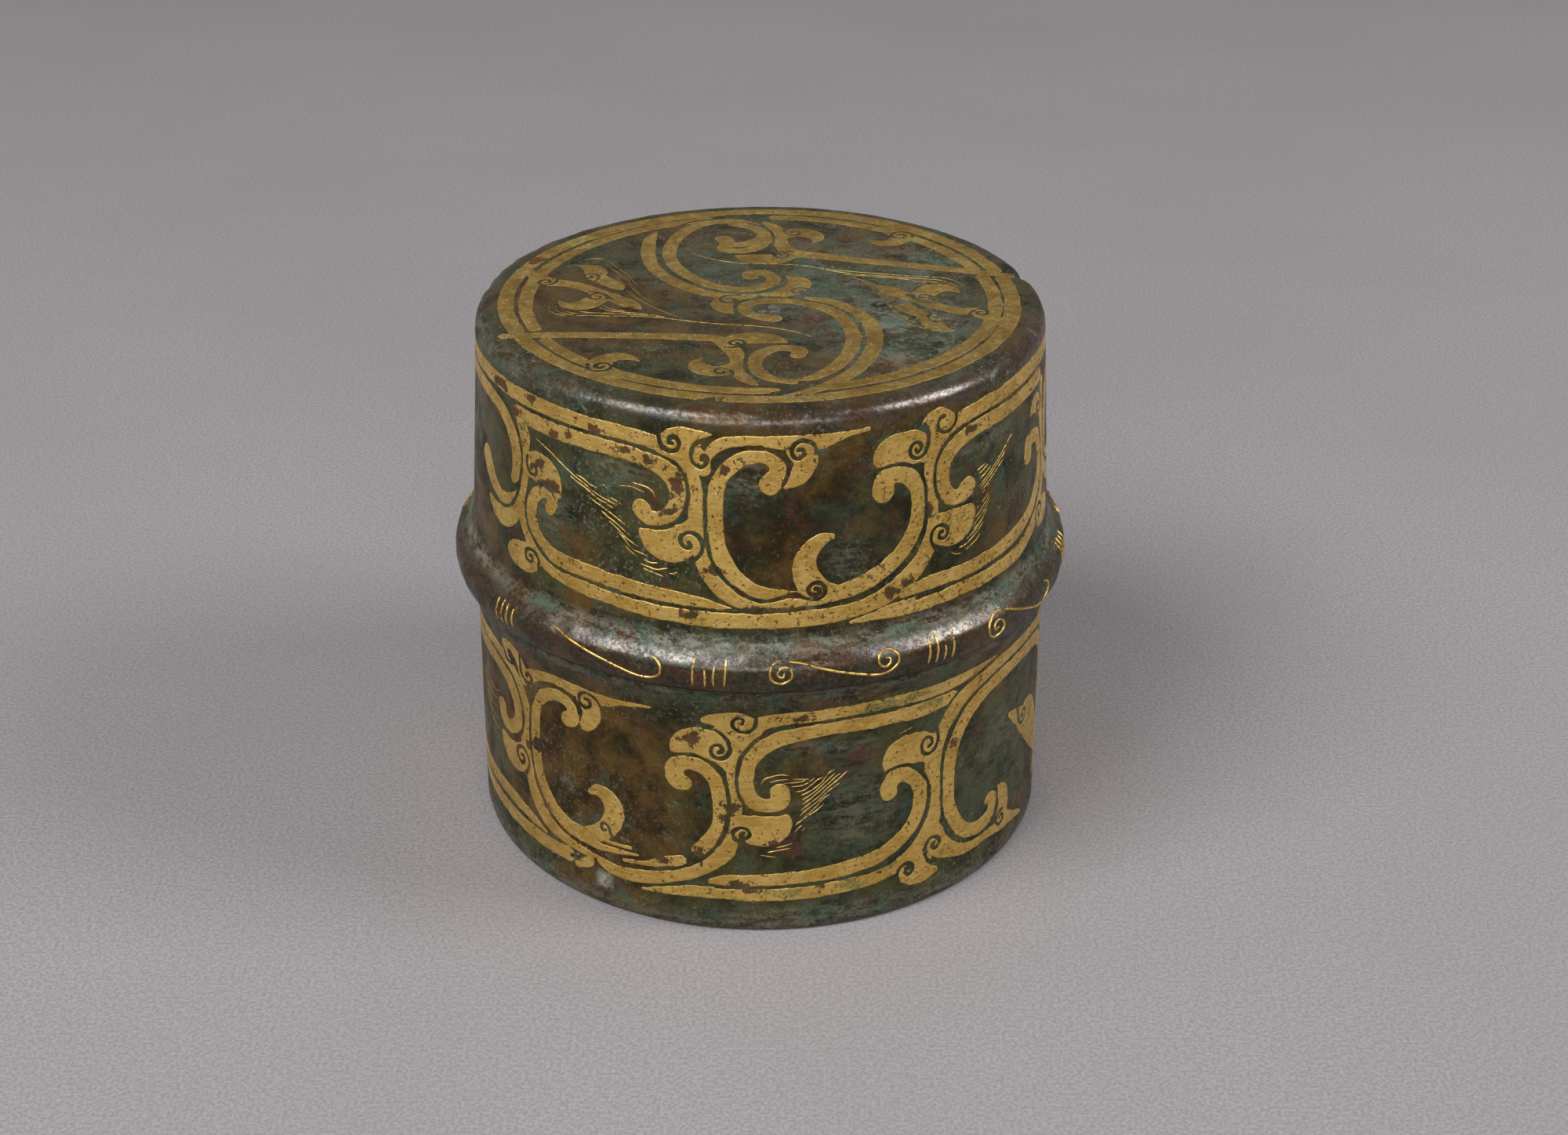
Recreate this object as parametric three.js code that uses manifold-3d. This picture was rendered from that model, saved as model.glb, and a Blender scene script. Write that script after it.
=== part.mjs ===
import * as THREE from 'three';
import { mergeVertices } from 'three/addons/utils/BufferGeometryUtils.js';
import Module from 'manifold-3d';

const wasm = await Module();
wasm.setup();

// Driving sizes of the two castings, in millimetres
const BODY_HEIGHT = 26.3;
const LID_HEIGHT = 25.5;
const BASE_RADIUS = 27.7;
const WAIST_RADIUS = 27.45;
const BASE_EDGE = 0.5;
const LEDGE_FLARE = 1.2;
const LEDGE_FLARE_HEIGHT = 2.6;
const BODY_WALL = 3.0;
const FLOOR_THICKNESS = 2.4;
const FLOOR_CORNER = 1.6;

// Mouth ring, wall, shoulder and inside of the lid
const RING_PROUD = 1.85;
const RING_LIP = 0.35;
const RING_CREST_HEIGHT = 1.5;
const RING_HEIGHT = 5.2;
const RING_FLANK = [[0.75, 0.33], [0.3, 0.64]];
const LID_WALL = 1.75;
const LID_TAPER = 1.05;
const SHOULDER_RADIUS = 1.7;
const TOP_THICKNESS = 2.0;
const LID_CORNER = 1.2;

// Neck of the body inside the lid's mouth
const NECK_HEIGHT = 6.0;
const NECK_CLEARANCE = 0.3;
const NECK_EDGE = 0.25;
const MOUTH_STRAIGHT = 7.2;

// Gold sheets and the channels they lie in
const BAND_WIDTH = 1.1;
const SHEET_THICKNESS = 0.35;
const SHEET_CLEARANCE = 0.08;
const CUTTER_PROUD = 0.9;
const BORDER_OUTER_RADIUS = 23.5;
const BORDER_INNER_RADIUS = 21.7;

// The flat drawing the ornament is laid out on: its radius and the heights of its fields
const DRAWN_RADIUS = 27.5;
const DRAWN_LID_LOW = 31.5;
const DRAWN_LID_HIGH = 50.1;
const DRAWN_BODY_HIGH = 26.3;
const DRAWN_TOP_RADIUS = 24.6;

// How finely the round shapes are divided
const AROUND = 32;
const CORNER_STEPS = 2;
const STROKE_SAMPLES = 14;
const MAX_TURN = 1.4;
const MAX_BOW = 0.4;
const MAX_STEP = 7.5;
const MAX_WIDENING = 1.6;
const MERGE_DISTANCE = 1e-4;

// Sizes that follow from the driving sizes
const LEDGE_RADIUS = WAIST_RADIUS + LEDGE_FLARE;
const CREST_RADIUS = WAIST_RADIUS + RING_PROUD;
const LID_TOP_RADIUS = WAIST_RADIUS - LID_TAPER;
const SHOULDER_HEIGHT = LID_HEIGHT - SHOULDER_RADIUS;
const TOP_FACE_RADIUS = LID_TOP_RADIUS - SHOULDER_RADIUS;
const MOUTH_RADIUS = WAIST_RADIUS - LID_WALL;
const LID_INSIDE_RADIUS = LID_TOP_RADIUS - LID_WALL;
const LID_CEILING = LID_HEIGHT - TOP_THICKNESS;
const NECK_RADIUS = MOUTH_RADIUS - NECK_CLEARANCE;
const BORE_RADIUS = WAIST_RADIUS - BODY_WALL;
const NECK_TOP = BODY_HEIGHT + NECK_HEIGHT;
const FLARE_FOOT = BODY_HEIGHT - LEDGE_FLARE_HEIGHT;

const BRONZE = { color: 0x3a352b, roughness: 0.55, metalness: 0.75 };
const GOLD = { color: 0xc29a4e, roughness: 0.38, metalness: 1.0 };

// Outer wall lines as radius and height, lowest point first
const BODY_LINE = [
  [BASE_RADIUS, BASE_EDGE],
  [WAIST_RADIUS, FLARE_FOOT],
  [LEDGE_RADIUS, BODY_HEIGHT],
];
const LID_LINE = [
  [WAIST_RADIUS, RING_HEIGHT],
  [LID_TOP_RADIUS, SHOULDER_HEIGHT],
];

function lineRadius(line, height) {
  let radius = line[0][0];
  for (let i = 1; i < line.length; i += 1) {
    const [low, lowAt] = line[i - 1];
    const [high, highAt] = line[i];
    const share = THREE.MathUtils.clamp((height - lowAt) / (highAt - lowAt), 0, 1);
    radius += (high - low) * share;
  }
  return radius;
}

function solid(geometry) {
  const plain = geometry.clone();
  plain.deleteAttribute('normal');
  plain.deleteAttribute('uv');
  const merged = mergeVertices(plain, MERGE_DISTANCE);
  const index = merged.index.array;
  const corners = [];
  for (let i = 0; i < index.length; i += 3) {
    const [a, b, c] = index.slice(i, i + 3);
    if (a !== b && b !== c && c !== a) {
      corners.push(a, b, c);
    }
  }
  const vertProperties = Float32Array.from(merged.attributes.position.array);
  const triVerts = Uint32Array.from(corners);
  return new wasm.Manifold(new wasm.Mesh({ numProp: 3, vertProperties, triVerts }));
}

function turned(path, steps) {
  const profile = path.getPoints(steps).reverse();
  const geometry = new THREE.LatheGeometry(profile, AROUND);
  geometry.rotateX(Math.PI / 2);
  return solid(geometry);
}

function named(name, shape, finish) {
  const mesh = shape.getMesh();
  const geometry = new THREE.BufferGeometry();
  geometry.setAttribute('position', new THREE.BufferAttribute(mesh.vertProperties, mesh.numProp));
  geometry.setIndex(new THREE.BufferAttribute(mesh.triVerts, 1));
  geometry.computeVertexNormals();
  const part = new THREE.Mesh(geometry, new THREE.MeshStandardMaterial(finish));
  part.name = name;
  return part;
}

// Lower casting: floor, wall, ledge and the neck that stands up inside the lid
function bodyCasting() {
  const path = new THREE.Path();
  path.moveTo(0, FLOOR_THICKNESS);
  path.lineTo(BORE_RADIUS - FLOOR_CORNER, FLOOR_THICKNESS);
  path.absarc(BORE_RADIUS - FLOOR_CORNER, FLOOR_THICKNESS + FLOOR_CORNER, FLOOR_CORNER, -Math.PI / 2, 0);
  path.lineTo(BORE_RADIUS, NECK_TOP - NECK_EDGE);
  path.lineTo(BORE_RADIUS + NECK_EDGE, NECK_TOP);
  path.lineTo(NECK_RADIUS - NECK_EDGE, NECK_TOP);
  path.lineTo(NECK_RADIUS, NECK_TOP - NECK_EDGE);
  path.lineTo(NECK_RADIUS, BODY_HEIGHT);
  for (const [radius, height] of [...BODY_LINE].reverse()) {
    path.lineTo(radius, height);
  }
  path.lineTo(BASE_RADIUS - BASE_EDGE, 0);
  path.lineTo(0, 0);
  return turned(path, CORNER_STEPS);
}

// Upper casting: flat top, rounded shoulder, tapering wall and the proud mouth ring
function lidCasting() {
  const flank = RING_HEIGHT - RING_CREST_HEIGHT;
  const ringLine = [
    [LEDGE_RADIUS + RING_LIP, RING_LIP],
    [CREST_RADIUS, RING_CREST_HEIGHT],
    ...RING_FLANK.map(([out, up]) => [WAIST_RADIUS + RING_PROUD * out, RING_CREST_HEIGHT + flank * up]),
  ];
  const path = new THREE.Path();
  path.moveTo(0, LID_HEIGHT);
  path.lineTo(TOP_FACE_RADIUS, LID_HEIGHT);
  path.absarc(TOP_FACE_RADIUS, SHOULDER_HEIGHT, SHOULDER_RADIUS, Math.PI / 2, 0, true);
  for (const [radius, height] of [...ringLine, ...LID_LINE].sort((a, b) => b[1] - a[1])) {
    path.lineTo(radius, height);
  }
  path.lineTo(LEDGE_RADIUS, 0);
  path.lineTo(MOUTH_RADIUS, 0);
  path.lineTo(MOUTH_RADIUS, MOUTH_STRAIGHT);
  path.lineTo(LID_INSIDE_RADIUS, LID_CEILING - LID_CORNER);
  path.absarc(LID_INSIDE_RADIUS - LID_CORNER, LID_CEILING - LID_CORNER, LID_CORNER, 0, Math.PI / 2);
  path.lineTo(0, LID_CEILING);
  return turned(path, CORNER_STEPS);
}

// Where a point of the flat drawing lies on each ornamented face, sunk by a depth
function onWall(line, along, height, depth) {
  const radius = lineRadius(line, height) - depth;
  const angle = along / DRAWN_RADIUS;
  return new THREE.Vector3(radius * Math.sin(angle), -radius * Math.cos(angle), height);
}

function onLid(along, up, depth) {
  const share = (up - DRAWN_LID_LOW) / (DRAWN_LID_HIGH - DRAWN_LID_LOW);
  const height = THREE.MathUtils.lerp(RING_HEIGHT, SHOULDER_HEIGHT, share);
  return onWall(LID_LINE, along, height, depth);
}

function onBody(along, up, depth) {
  return onWall(BODY_LINE, along, up * (BODY_HEIGHT / DRAWN_BODY_HIGH), depth);
}

function onTop(along, up, depth) {
  const scale = TOP_FACE_RADIUS / DRAWN_TOP_RADIUS;
  return new THREE.Vector3(along * scale, up * scale, LID_HEIGHT - depth);
}

// Points kept along a stroke: closer where it bends or widens, wide apart where it runs straight
function sections(stroke) {
  const knots = stroke.map(([along, up, weight]) => new THREE.Vector3(along, up, weight * BAND_WIDTH));
  const curve = new THREE.CatmullRomCurve3(knots, false, 'centripetal');
  const points = curve.getPoints(STROKE_SAMPLES * (knots.length - 1));
  const headings = points.map((point, i) => {
    const before = points[Math.max(i - 1, 0)];
    const after = points[Math.min(i + 1, points.length - 1)];
    return Math.atan2(after.y - before.y, after.x - before.x);
  });
  const kept = [];
  let turn = 0;
  let step = 0;
  points.forEach((point, i) => {
    if (i > 0) {
      const bend = headings[i] - headings[i - 1];
      turn += Math.abs(Math.atan2(Math.sin(bend), Math.cos(bend)));
      step += Math.hypot(point.x - points[i - 1].x, point.y - points[i - 1].y);
    }
    const last = kept[kept.length - 1];
    const widened = last ? Math.abs(point.z - last.width) > MAX_WIDENING : true;
    const ending = i === points.length - 1;
    const bowed = (turn * step) / 8 > MAX_BOW;
    if (widened || ending || bowed || turn > MAX_TURN || step > MAX_STEP) {
      kept.push({ along: point.x, up: point.y, width: point.z, heading: headings[i] });
      turn = 0;
      step = 0;
    }
  });
  return kept;
}

// A flat band that follows a stroke, grown on all sides and lying between two depths
function ribbon(stroke, place, grow, upper, lower) {
  const rows = sections(stroke);
  const positions = [];
  rows.forEach(({ along, up, width, heading }, i) => {
    const reach = (i === rows.length - 1 ? grow : 0) - (i === 0 ? grow : 0);
    const centreAlong = along + reach * Math.cos(heading);
    const centreUp = up + reach * Math.sin(heading);
    const half = width / 2 + grow;
    const sideAlong = -Math.sin(heading) * half;
    const sideUp = Math.cos(heading) * half;
    for (const [side, depth] of [[1, upper], [-1, upper], [-1, lower], [1, lower]]) {
      positions.push(...place(centreAlong + side * sideAlong, centreUp + side * sideUp, depth).toArray());
    }
  });
  const index = [];
  const quad = (a, b, c, d) => index.push(a, b, c, a, c, d);
  for (let i = 0; i < rows.length - 1; i += 1) {
    const here = 4 * i;
    const next = here + 4;
    quad(here + 1, next + 1, next, here);
    quad(here + 3, next + 3, next + 2, here + 2);
    quad(here, next, next + 3, here + 3);
    quad(here + 2, next + 2, next + 1, here + 1);
  }
  const end = 4 * (rows.length - 1);
  quad(1, 0, 3, 2);
  quad(end, end + 1, end + 2, end + 3);
  const geometry = new THREE.BufferGeometry();
  geometry.setAttribute('position', new THREE.Float32BufferAttribute(positions, 3));
  geometry.setIndex(index);
  return solid(geometry);
}

function joined(strokes, place, grow, upper, lower) {
  return strokes
    .map((stroke) => ribbon(stroke, place, grow, upper, lower))
    .reduce((whole, piece) => whole.add(piece));
}

function sheet(strokes, place) {
  return joined(strokes, place, 0, 0, SHEET_THICKNESS);
}

function channel(strokes, place) {
  return joined(strokes, place, SHEET_CLEARANCE, -CUTTER_PROUD, SHEET_THICKNESS + SHEET_CLEARANCE);
}

// Strokes are lists of points: distance along the wall, height, and width as a share of the band width
const LID_SCROLLS = {
  left_stem: [
    [[-36, 49.05, 1], [-20, 48.95, 1], [-11.5, 48.7, 1], [-8.6, 48, 1.1], [-6.6, 46.4, 1.1],
      [-5.65, 44.4, 0.95], [-5.65, 42, 0.9], [-5.3, 39.8, 0.8]],
    [[-10.6, 40.1, 0.3], [-9.4, 39.35, 1.7], [-8, 39.2, 2.2], [-6.8, 39.9, 1.8], [-5.7, 41.4, 0.9]],
  ],
  bowl_arm: [
    [[-4.95, 38.2, 0.9], [-4.2, 36.7, 1], [-2.6, 35, 0.9], [0, 34.1, 0.6], [3, 34.15, 0.55],
      [6, 34.6, 0.8], [9.2, 35.5, 1], [12, 36.9, 1], [14, 39.2, 1], [14.65, 41.6, 1],
      [14, 44, 1], [12.4, 45.05, 1.1], [11.1, 44.3, 1.5]],
    [[6.2, 40.2, 0.4], [4.9, 39.7, 1], [3.95, 38.2, 1.5], [4.1, 36.6, 1.7], [5.2, 35.3, 1.4], [6.5, 34.9, 1]],
  ],
  left_hook: [
    [[-25.4, 47.25, 0.95], [-14, 47.2, 1], [-10.6, 46.9, 1], [-8.5, 46, 1.05], [-7.4, 44.4, 1.05],
      [-7.55, 42.8, 1], [-8.7, 41.75, 0.95], [-10.4, 41.9, 1.3]],
  ],
  left_arm: [
    [[0.9, 45.5, 1.2], [1.5, 46.5, 1.1], [0.9, 47.6, 1], [-0.8, 47.85, 1], [-2.6, 47, 1], [-3.7, 45.4, 1],
      [-4.05, 43, 1], [-3.95, 41, 1], [-3.4, 38.7, 1], [-2, 36.8, 1], [-0.4, 35.7, 0.8], [1.7, 35.35, 0.35]],
  ],
  flag: [
    [[-4.3, 48.4, 0.5], [-2.6, 49.2, 0.6], [0, 49.35, 0.55], [2.5, 49.1, 0.8], [5, 49.1, 0.9],
      [7, 49.4, 0.45], [9.6, 49.68, 0.2]],
    [[3.4, 49, 1.6], [4, 47.6, 1.6], [3.4, 46.2, 1.2], [2.4, 45.3, 0.4]],
  ],
  low_band: [
    [[-24.7, 46.1, 1], [-24.35, 44, 0.85], [-24.5, 41.5, 0.85], [-24.85, 39.5, 0.95], [-24.6, 37.4, 0.95],
      [-23.2, 35.5, 1], [-21, 34.15, 1], [-18, 33.5, 1], [-10, 32.8, 1], [2, 32.6, 1], [8, 33, 1],
      [11.2, 33.85, 1.1], [14, 35.5, 1.2], [15.6, 37.4, 1.1], [16.2, 39.8, 0.75], [16.15, 42, 0.65],
      [15.95, 44.6, 0.75]],
    [[-24.4, 42.3, 0.6], [-23.3, 43, 1.6], [-21.9, 43.1, 2], [-20.5, 42.6, 1.5], [-19.8, 41.8, 0.5]],
    [[16.2, 40.4, 0.7], [17.2, 39, 2], [18.6, 38.6, 2.5], [20, 38.95, 1.8], [20.9, 39.8, 0.4]],
  ],
  high_band: [
    [[16.25, 45.9, 1], [17.2, 47.3, 1], [19.3, 48.35, 1], [22.5, 48.8, 1.1], [32, 49.2, 1.1],
      [41, 49.25, 1.05], [49.2, 49.05, 1]],
    [[10.8, 46.6, 0.5], [12, 47.3, 1.9], [13.6, 47.3, 2.3], [15.2, 46.9, 1.6], [16.5, 46.2, 0.9]],
  ],
  right_hook: [
    [[34.2, 47.55, 0.9], [26, 47.35, 1], [21.5, 47.05, 1], [19, 46.3, 1], [17.6, 44.8, 0.95],
      [17.45, 43, 0.95], [18.4, 41.75, 0.95], [20, 41.5, 1.3]],
  ],
  first_arm: [
    [[-20.6, 40.3, 0.9], [-21.4, 41.1, 0.9], [-22.4, 40.5, 1], [-23.1, 38.8, 1], [-22.7, 37.2, 1],
      [-21.4, 36, 1], [-19.5, 35.35, 1], [-14, 34.85, 1], [-8, 34.35, 0.95], [-5.5, 34.15, 0.7],
      [-3.6, 33.9, 0.25]],
  ],
  cap_band: [
    [[43, 40.4, 1.5], [41.4, 38.9, 1.1], [39.3, 38.2, 0.9], [37.6, 38.8, 0.9], [36.95, 40.6, 0.95],
      [36.95, 42.8, 1], [37.5, 45, 1], [39.3, 46.5, 1], [43, 47.2, 1], [49.4, 47.4, 1], [55.6, 47.2, 1],
      [58, 46.5, 1], [59.6, 45, 1], [60.5, 43.4, 0.95], [60.6, 41.8, 0.95], [60.1, 40, 0.9],
      [58.9, 38.6, 0.9], [57, 38.2, 0.9], [55.2, 38.9, 1.1], [54.1, 40.4, 1.5]],
  ],
  last_arm: [
    [[13.6, 33.6, 0.4], [16, 34, 0.9], [22, 34, 0.95], [28, 34.55, 1], [31.4, 35.5, 1], [33.6, 37.4, 1],
      [34.3, 39.8, 1], [33.6, 41.8, 1], [32.3, 42.4, 1.1], [31.1, 41.7, 1.5]],
  ],
  last_stem: [
    [[9, 31.98, 0.3], [12, 32.3, 0.9], [16, 32.25, 1], [24, 32.3, 1], [28.5, 32.6, 1], [32, 33.6, 1],
      [34.4, 35.4, 1], [35.6, 37.8, 0.95], [35.7, 40, 0.85], [35.4, 42.5, 0.85], [35.3, 44.5, 0.85],
      [35.5, 46.2, 1]],
    [[35.3, 43.6, 0.7], [34.1, 44.4, 1.5], [32.7, 44.6, 1.9], [31.3, 44, 1.4], [30.7, 43.1, 0.5]],
  ],
};

// The body's last cell is the mirror image of its first half about this line of the drawing
const MIRROR_AT = 29.3;
const MIRROR_GAP = 0.4;

function mirrored(stroke) {
  return stroke.map(([along, up, weight]) => [2 * MIRROR_AT - along, up, weight]).reverse();
}

const LOW_STEM_RISE = [
  [12.2, 4.9, 0.9], [14.6, 6.1, 1.1], [16.5, 8.2, 1.1], [17.25, 10.6, 0.9], [17.2, 12.8, 0.85],
  [17.1, 15, 1], [17.6, 17.8, 1.1], [19, 19.6, 1.1], [21, 21.1, 1.05], [24, 22.2, 1],
  [MIRROR_AT - MIRROR_GAP, 22.4, 1],
];
const LOW_STEM_HEAD = [
  [12.1, 16.2, 0.5], [13.2, 17.3, 2], [14.8, 17.4, 2.3], [16.4, 16.8, 1.6], [17.2, 15.6, 0.9],
];
const LOW_ARM_HOOK = [
  [8, 6.2, 1], [11.2, 6.9, 1], [13.8, 8.5, 1], [15.3, 10.8, 1], [15.3, 13, 1], [14.2, 14.7, 1.05],
  [12.8, 14.9, 1.1], [12.1, 13.9, 1.4],
];
const CAP_HALF = [
  [25.1, 7.4, 1.4], [24.9, 6, 1.1], [23.2, 5.3, 1], [21.2, 6, 1], [19.6, 8, 1], [18.95, 10.4, 1],
  [18.9, 13, 1], [19.4, 16.2, 1], [20.8, 18.4, 1], [23, 19.9, 1], [26, 20.6, 1],
];

const BODY_SCROLLS = {
  left_stem: [
    [[-51.6, 23.35, 0.25], [-47.8, 23, 0.9], [-43.8, 22.9, 1], [-39, 22.35, 1], [-34, 21.8, 1], [-30, 21.5, 1],
      [-27.6, 20.6, 1.1], [-26, 19, 1.05], [-25.2, 17, 0.85], [-25.2, 15, 0.8], [-25.4, 13.2, 0.95],
      [-25, 11.4, 0.9], [-24.5, 9.4, 1.05], [-23, 7.3, 1.1], [-21, 5.95, 0.9], [-18.5, 5.4, 0.55],
      [-16.2, 5.2, 0.3]],
    [[-29.8, 12.2, 0.4], [-28.4, 11.3, 1.9], [-26.9, 11.4, 2.1], [-25.4, 12.8, 0.9]],
  ],
  left_hook: [
    [[-46.8, 21.3, 0.7], [-43.8, 21.2, 1], [-39.5, 20.65, 1], [-35, 20.1, 1], [-31, 19.9, 1], [-28.6, 19.2, 1],
      [-27, 17.8, 1], [-26.5, 16.1, 0.95], [-27.2, 14.7, 0.95], [-28.6, 14.2, 1.1], [-29.7, 14.9, 1.3]],
  ],
  left_arm: [
    [[-19, 19.2, 1.2], [-18.5, 20.2, 1], [-20, 20.95, 1], [-22.2, 20.2, 1], [-23.4, 18.6, 1], [-23.85, 16, 1],
      [-23.75, 13.6, 1], [-23.2, 11.1, 1], [-22, 9, 1], [-20.2, 7.7, 1], [-17.8, 7.25, 1], [-15.9, 7.9, 1.1],
      [-14.4, 9.4, 1.4], [-13.95, 10.9, 1.4], [-14.6, 12.1, 1], [-16.2, 12.4, 0.4]],
  ],
  flag: [
    [[-23.8, 21.4, 0.5], [-22.6, 22.1, 0.6], [-20, 22.6, 0.65], [-17.5, 22.5, 0.9], [-15, 22.45, 0.9],
      [-13, 22.75, 0.4], [-10.2, 23.05, 0.15]],
    [[-16.8, 22.3, 1.4], [-16.2, 20.9, 1.5], [-16.6, 19.6, 1.1], [-17.2, 18.9, 0.4]],
  ],
  right_stem: [
    [[-15.3, 4.9, 0.7], [-13, 4.6, 1], [-10, 4.9, 1], [-6.5, 6.05, 1.05], [-4.3, 7.6, 1.2], [-2.9, 9.7, 1.1],
      [-2.35, 12, 0.7], [-2.3, 14, 0.65], [-2.45, 16, 0.65], [-2.2, 18.4, 0.95], [-1.2, 20.7, 1.2],
      [0.5, 22.4, 1], [3, 22.9, 1], [8, 23, 1.05], [16, 22.95, 1], [20, 23, 0.9], [24, 23.35, 0.25]],
    [[-7.7, 19.2, 0.5], [-6.4, 19.9, 1.8], [-4.8, 20, 2.1], [-3.4, 19, 1.5], [-2.3, 17.4, 0.7]],
    [[-2.3, 12.5, 0.6], [-1.1, 11.5, 1.6], [0.4, 11, 2.2], [1.7, 11.5, 1.6], [2.3, 12.4, 0.4]],
  ],
  right_arm: [
    [[-12.6, 5.95, 0.2], [-9.5, 6.45, 0.4], [-7.3, 7.4, 0.7], [-5.4, 8.9, 1], [-4.2, 10.6, 1], [-3.6, 12.8, 1],
      [-3.7, 15, 1], [-4.6, 16.9, 1], [-6.1, 17.8, 1], [-7.5, 17.2, 1.3], [-7.6, 16, 1.5]],
  ],
  right_hook: [
    [[18.6, 21.4, 0.7], [16, 21.3, 1], [8, 21.5, 1], [4, 21.25, 1], [1.4, 20.5, 1], [-0.4, 19, 0.95],
      [-1.15, 17, 0.9], [-0.95, 15.2, 0.95], [-0.1, 14, 1], [1.1, 13.8, 1.1], [1.9, 14.7, 1.3]],
  ],
  low_arm: [
    [[-4, 5.45, 0.4], [-2, 5.6, 0.9], [4, 5.8, 1], ...LOW_ARM_HOOK],
  ],
  low_stem: [
    [[-10.6, 3.3, 0.2], [-7, 3.95, 0.8], [-3, 4.1, 1], [4, 4.1, 1], [9, 4.4, 1], ...LOW_STEM_RISE],
    LOW_STEM_HEAD,
  ],
  cap_arm: [
    [...CAP_HALF, [MIRROR_AT, 20.8, 1], ...mirrored(CAP_HALF)],
  ],
  far_arm: [
    [...mirrored(LOW_ARM_HOOK), [56.4, 6.25, 1], [60.2, 5.95, 0.8], [62.6, 5.4, 0.3]],
  ],
  far_stem: [
    [...mirrored(LOW_STEM_RISE), [49.6, 4.4, 1], [54, 4.2, 1], [60, 4.1, 1], [66, 4.05, 1]],
    mirrored(LOW_STEM_HEAD),
  ],
};

// Top face: strokes seen from above, each with a twin turned half round
function arc(radius, fromDegrees, toDegrees) {
  const curve = new THREE.EllipseCurve(0, 0, radius, radius,
    THREE.MathUtils.degToRad(fromDegrees), THREE.MathUtils.degToRad(toDegrees));
  const knots = Math.ceil((radius * (toDegrees - fromDegrees) * THREE.MathUtils.DEG2RAD) / MAX_STEP);
  return curve.getPoints(knots).map(({ x, y }) => [x, y, 1]);
}

const S_HALF = [
  [-10.3, 17, 0.3], [-11, 14, 0.95], [-11, 10.5, 1], [-10, 7.2, 1], [-8.2, 4.2, 1], [-5.8, 1.8, 1],
  [-3, 0.5, 1], [0, 0.2, 1], [2.4, 0.9, 1.2], [4.1, 2.6, 1.4], [3.9, 4.4, 0.8], [2.9, 5.3, 0.3],
];

function halfTurned(stroke) {
  return stroke.map(([along, up, weight]) => [-along, -up, weight]);
}

const TOP_S_SCROLL = [S_HALF, halfTurned(S_HALF)];

const TOP_SCROLLS = {
  border_and_bar: [
    arc(BORDER_OUTER_RADIUS, 16, 193),
    [[22.5, 6.6, 0.9], [18, 7.6, 0.95], [12, 9.1, 1], [6, 10.7, 1.1], [3.5, 11.4, 1.1], [2.8, 12.3, 0.9]],
  ],
  inner_long: [arc(BORDER_INNER_RADIUS, 122, 193)],
  inner_short: [arc(BORDER_INNER_RADIUS, 25, 84)],
  scroll_loop: [
    [[-0.9, 5.6, 1.2], [0.1, 6.5, 1], [1.3, 5.9, 1], [1.6, 4.4, 1], [0.7, 2.8, 1], [-1.2, 2.05, 1],
      [-3.5, 2.5, 1], [-6, 4.3, 1], [-7.9, 7, 1], [-8.9, 10.4, 1], [-8.9, 13.4, 1], [-8, 16.8, 1],
      [-6.2, 19.1, 1], [-4, 20, 1], [-1.6, 19.9, 1], [0.1, 18.4, 1], [0.3, 16.6, 1], [-0.6, 15, 1],
      [-2.4, 14.3, 1], [-3.6, 15.4, 1.1]],
  ],
};

// Each drawing is laid twice round the box, half a turn apart
function paired(scrolls, place) {
  return Object.entries(scrolls).map(([name, strokes]) => ({
    name,
    gold: sheet(strokes, place),
    cut: channel(strokes, place),
  }));
}

function cutBothSides(casting, scrolls) {
  return scrolls.reduce((whole, { cut }) => whole.subtract(cut).subtract(cut.rotate([0, 0, 180])), casting);
}

function addBothSides(group, prefix, scrolls) {
  for (const { name, gold } of scrolls) {
    group.add(named(`gold_${prefix}_${name}_front`, gold, GOLD));
    const twin = named(`gold_${prefix}_${name}_back`, gold, GOLD);
    twin.rotation.z = Math.PI;
    group.add(twin);
  }
}

const lidScrolls = paired(LID_SCROLLS, onLid);
const bodyScrolls = paired(BODY_SCROLLS, onBody);
const topScrolls = paired(TOP_SCROLLS, onTop);

const bodyShape = cutBothSides(bodyCasting(), bodyScrolls);
const lidWalls = cutBothSides(lidCasting(), lidScrolls);
const lidShape = cutBothSides(lidWalls, topScrolls).subtract(channel(TOP_S_SCROLL, onTop));

const body = new THREE.Group();
body.name = 'body';
body.add(named('box_body', bodyShape, BRONZE));
addBothSides(body, 'body', bodyScrolls);

const lid = new THREE.Group();
lid.name = 'lid';
lid.position.z = BODY_HEIGHT;
lid.add(named('box_lid', lidShape, BRONZE));
addBothSides(lid, 'lid', lidScrolls);
addBothSides(lid, 'top', topScrolls);
lid.add(named('gold_top_s_scroll', sheet(TOP_S_SCROLL, onTop), GOLD));

const box = new THREE.Group();
box.name = 'inlaid_box';
box.add(body, lid);

export default box;
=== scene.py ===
import logging
import math
from collections.abc import Callable
from dataclasses import dataclass
from enum import Enum

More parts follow.
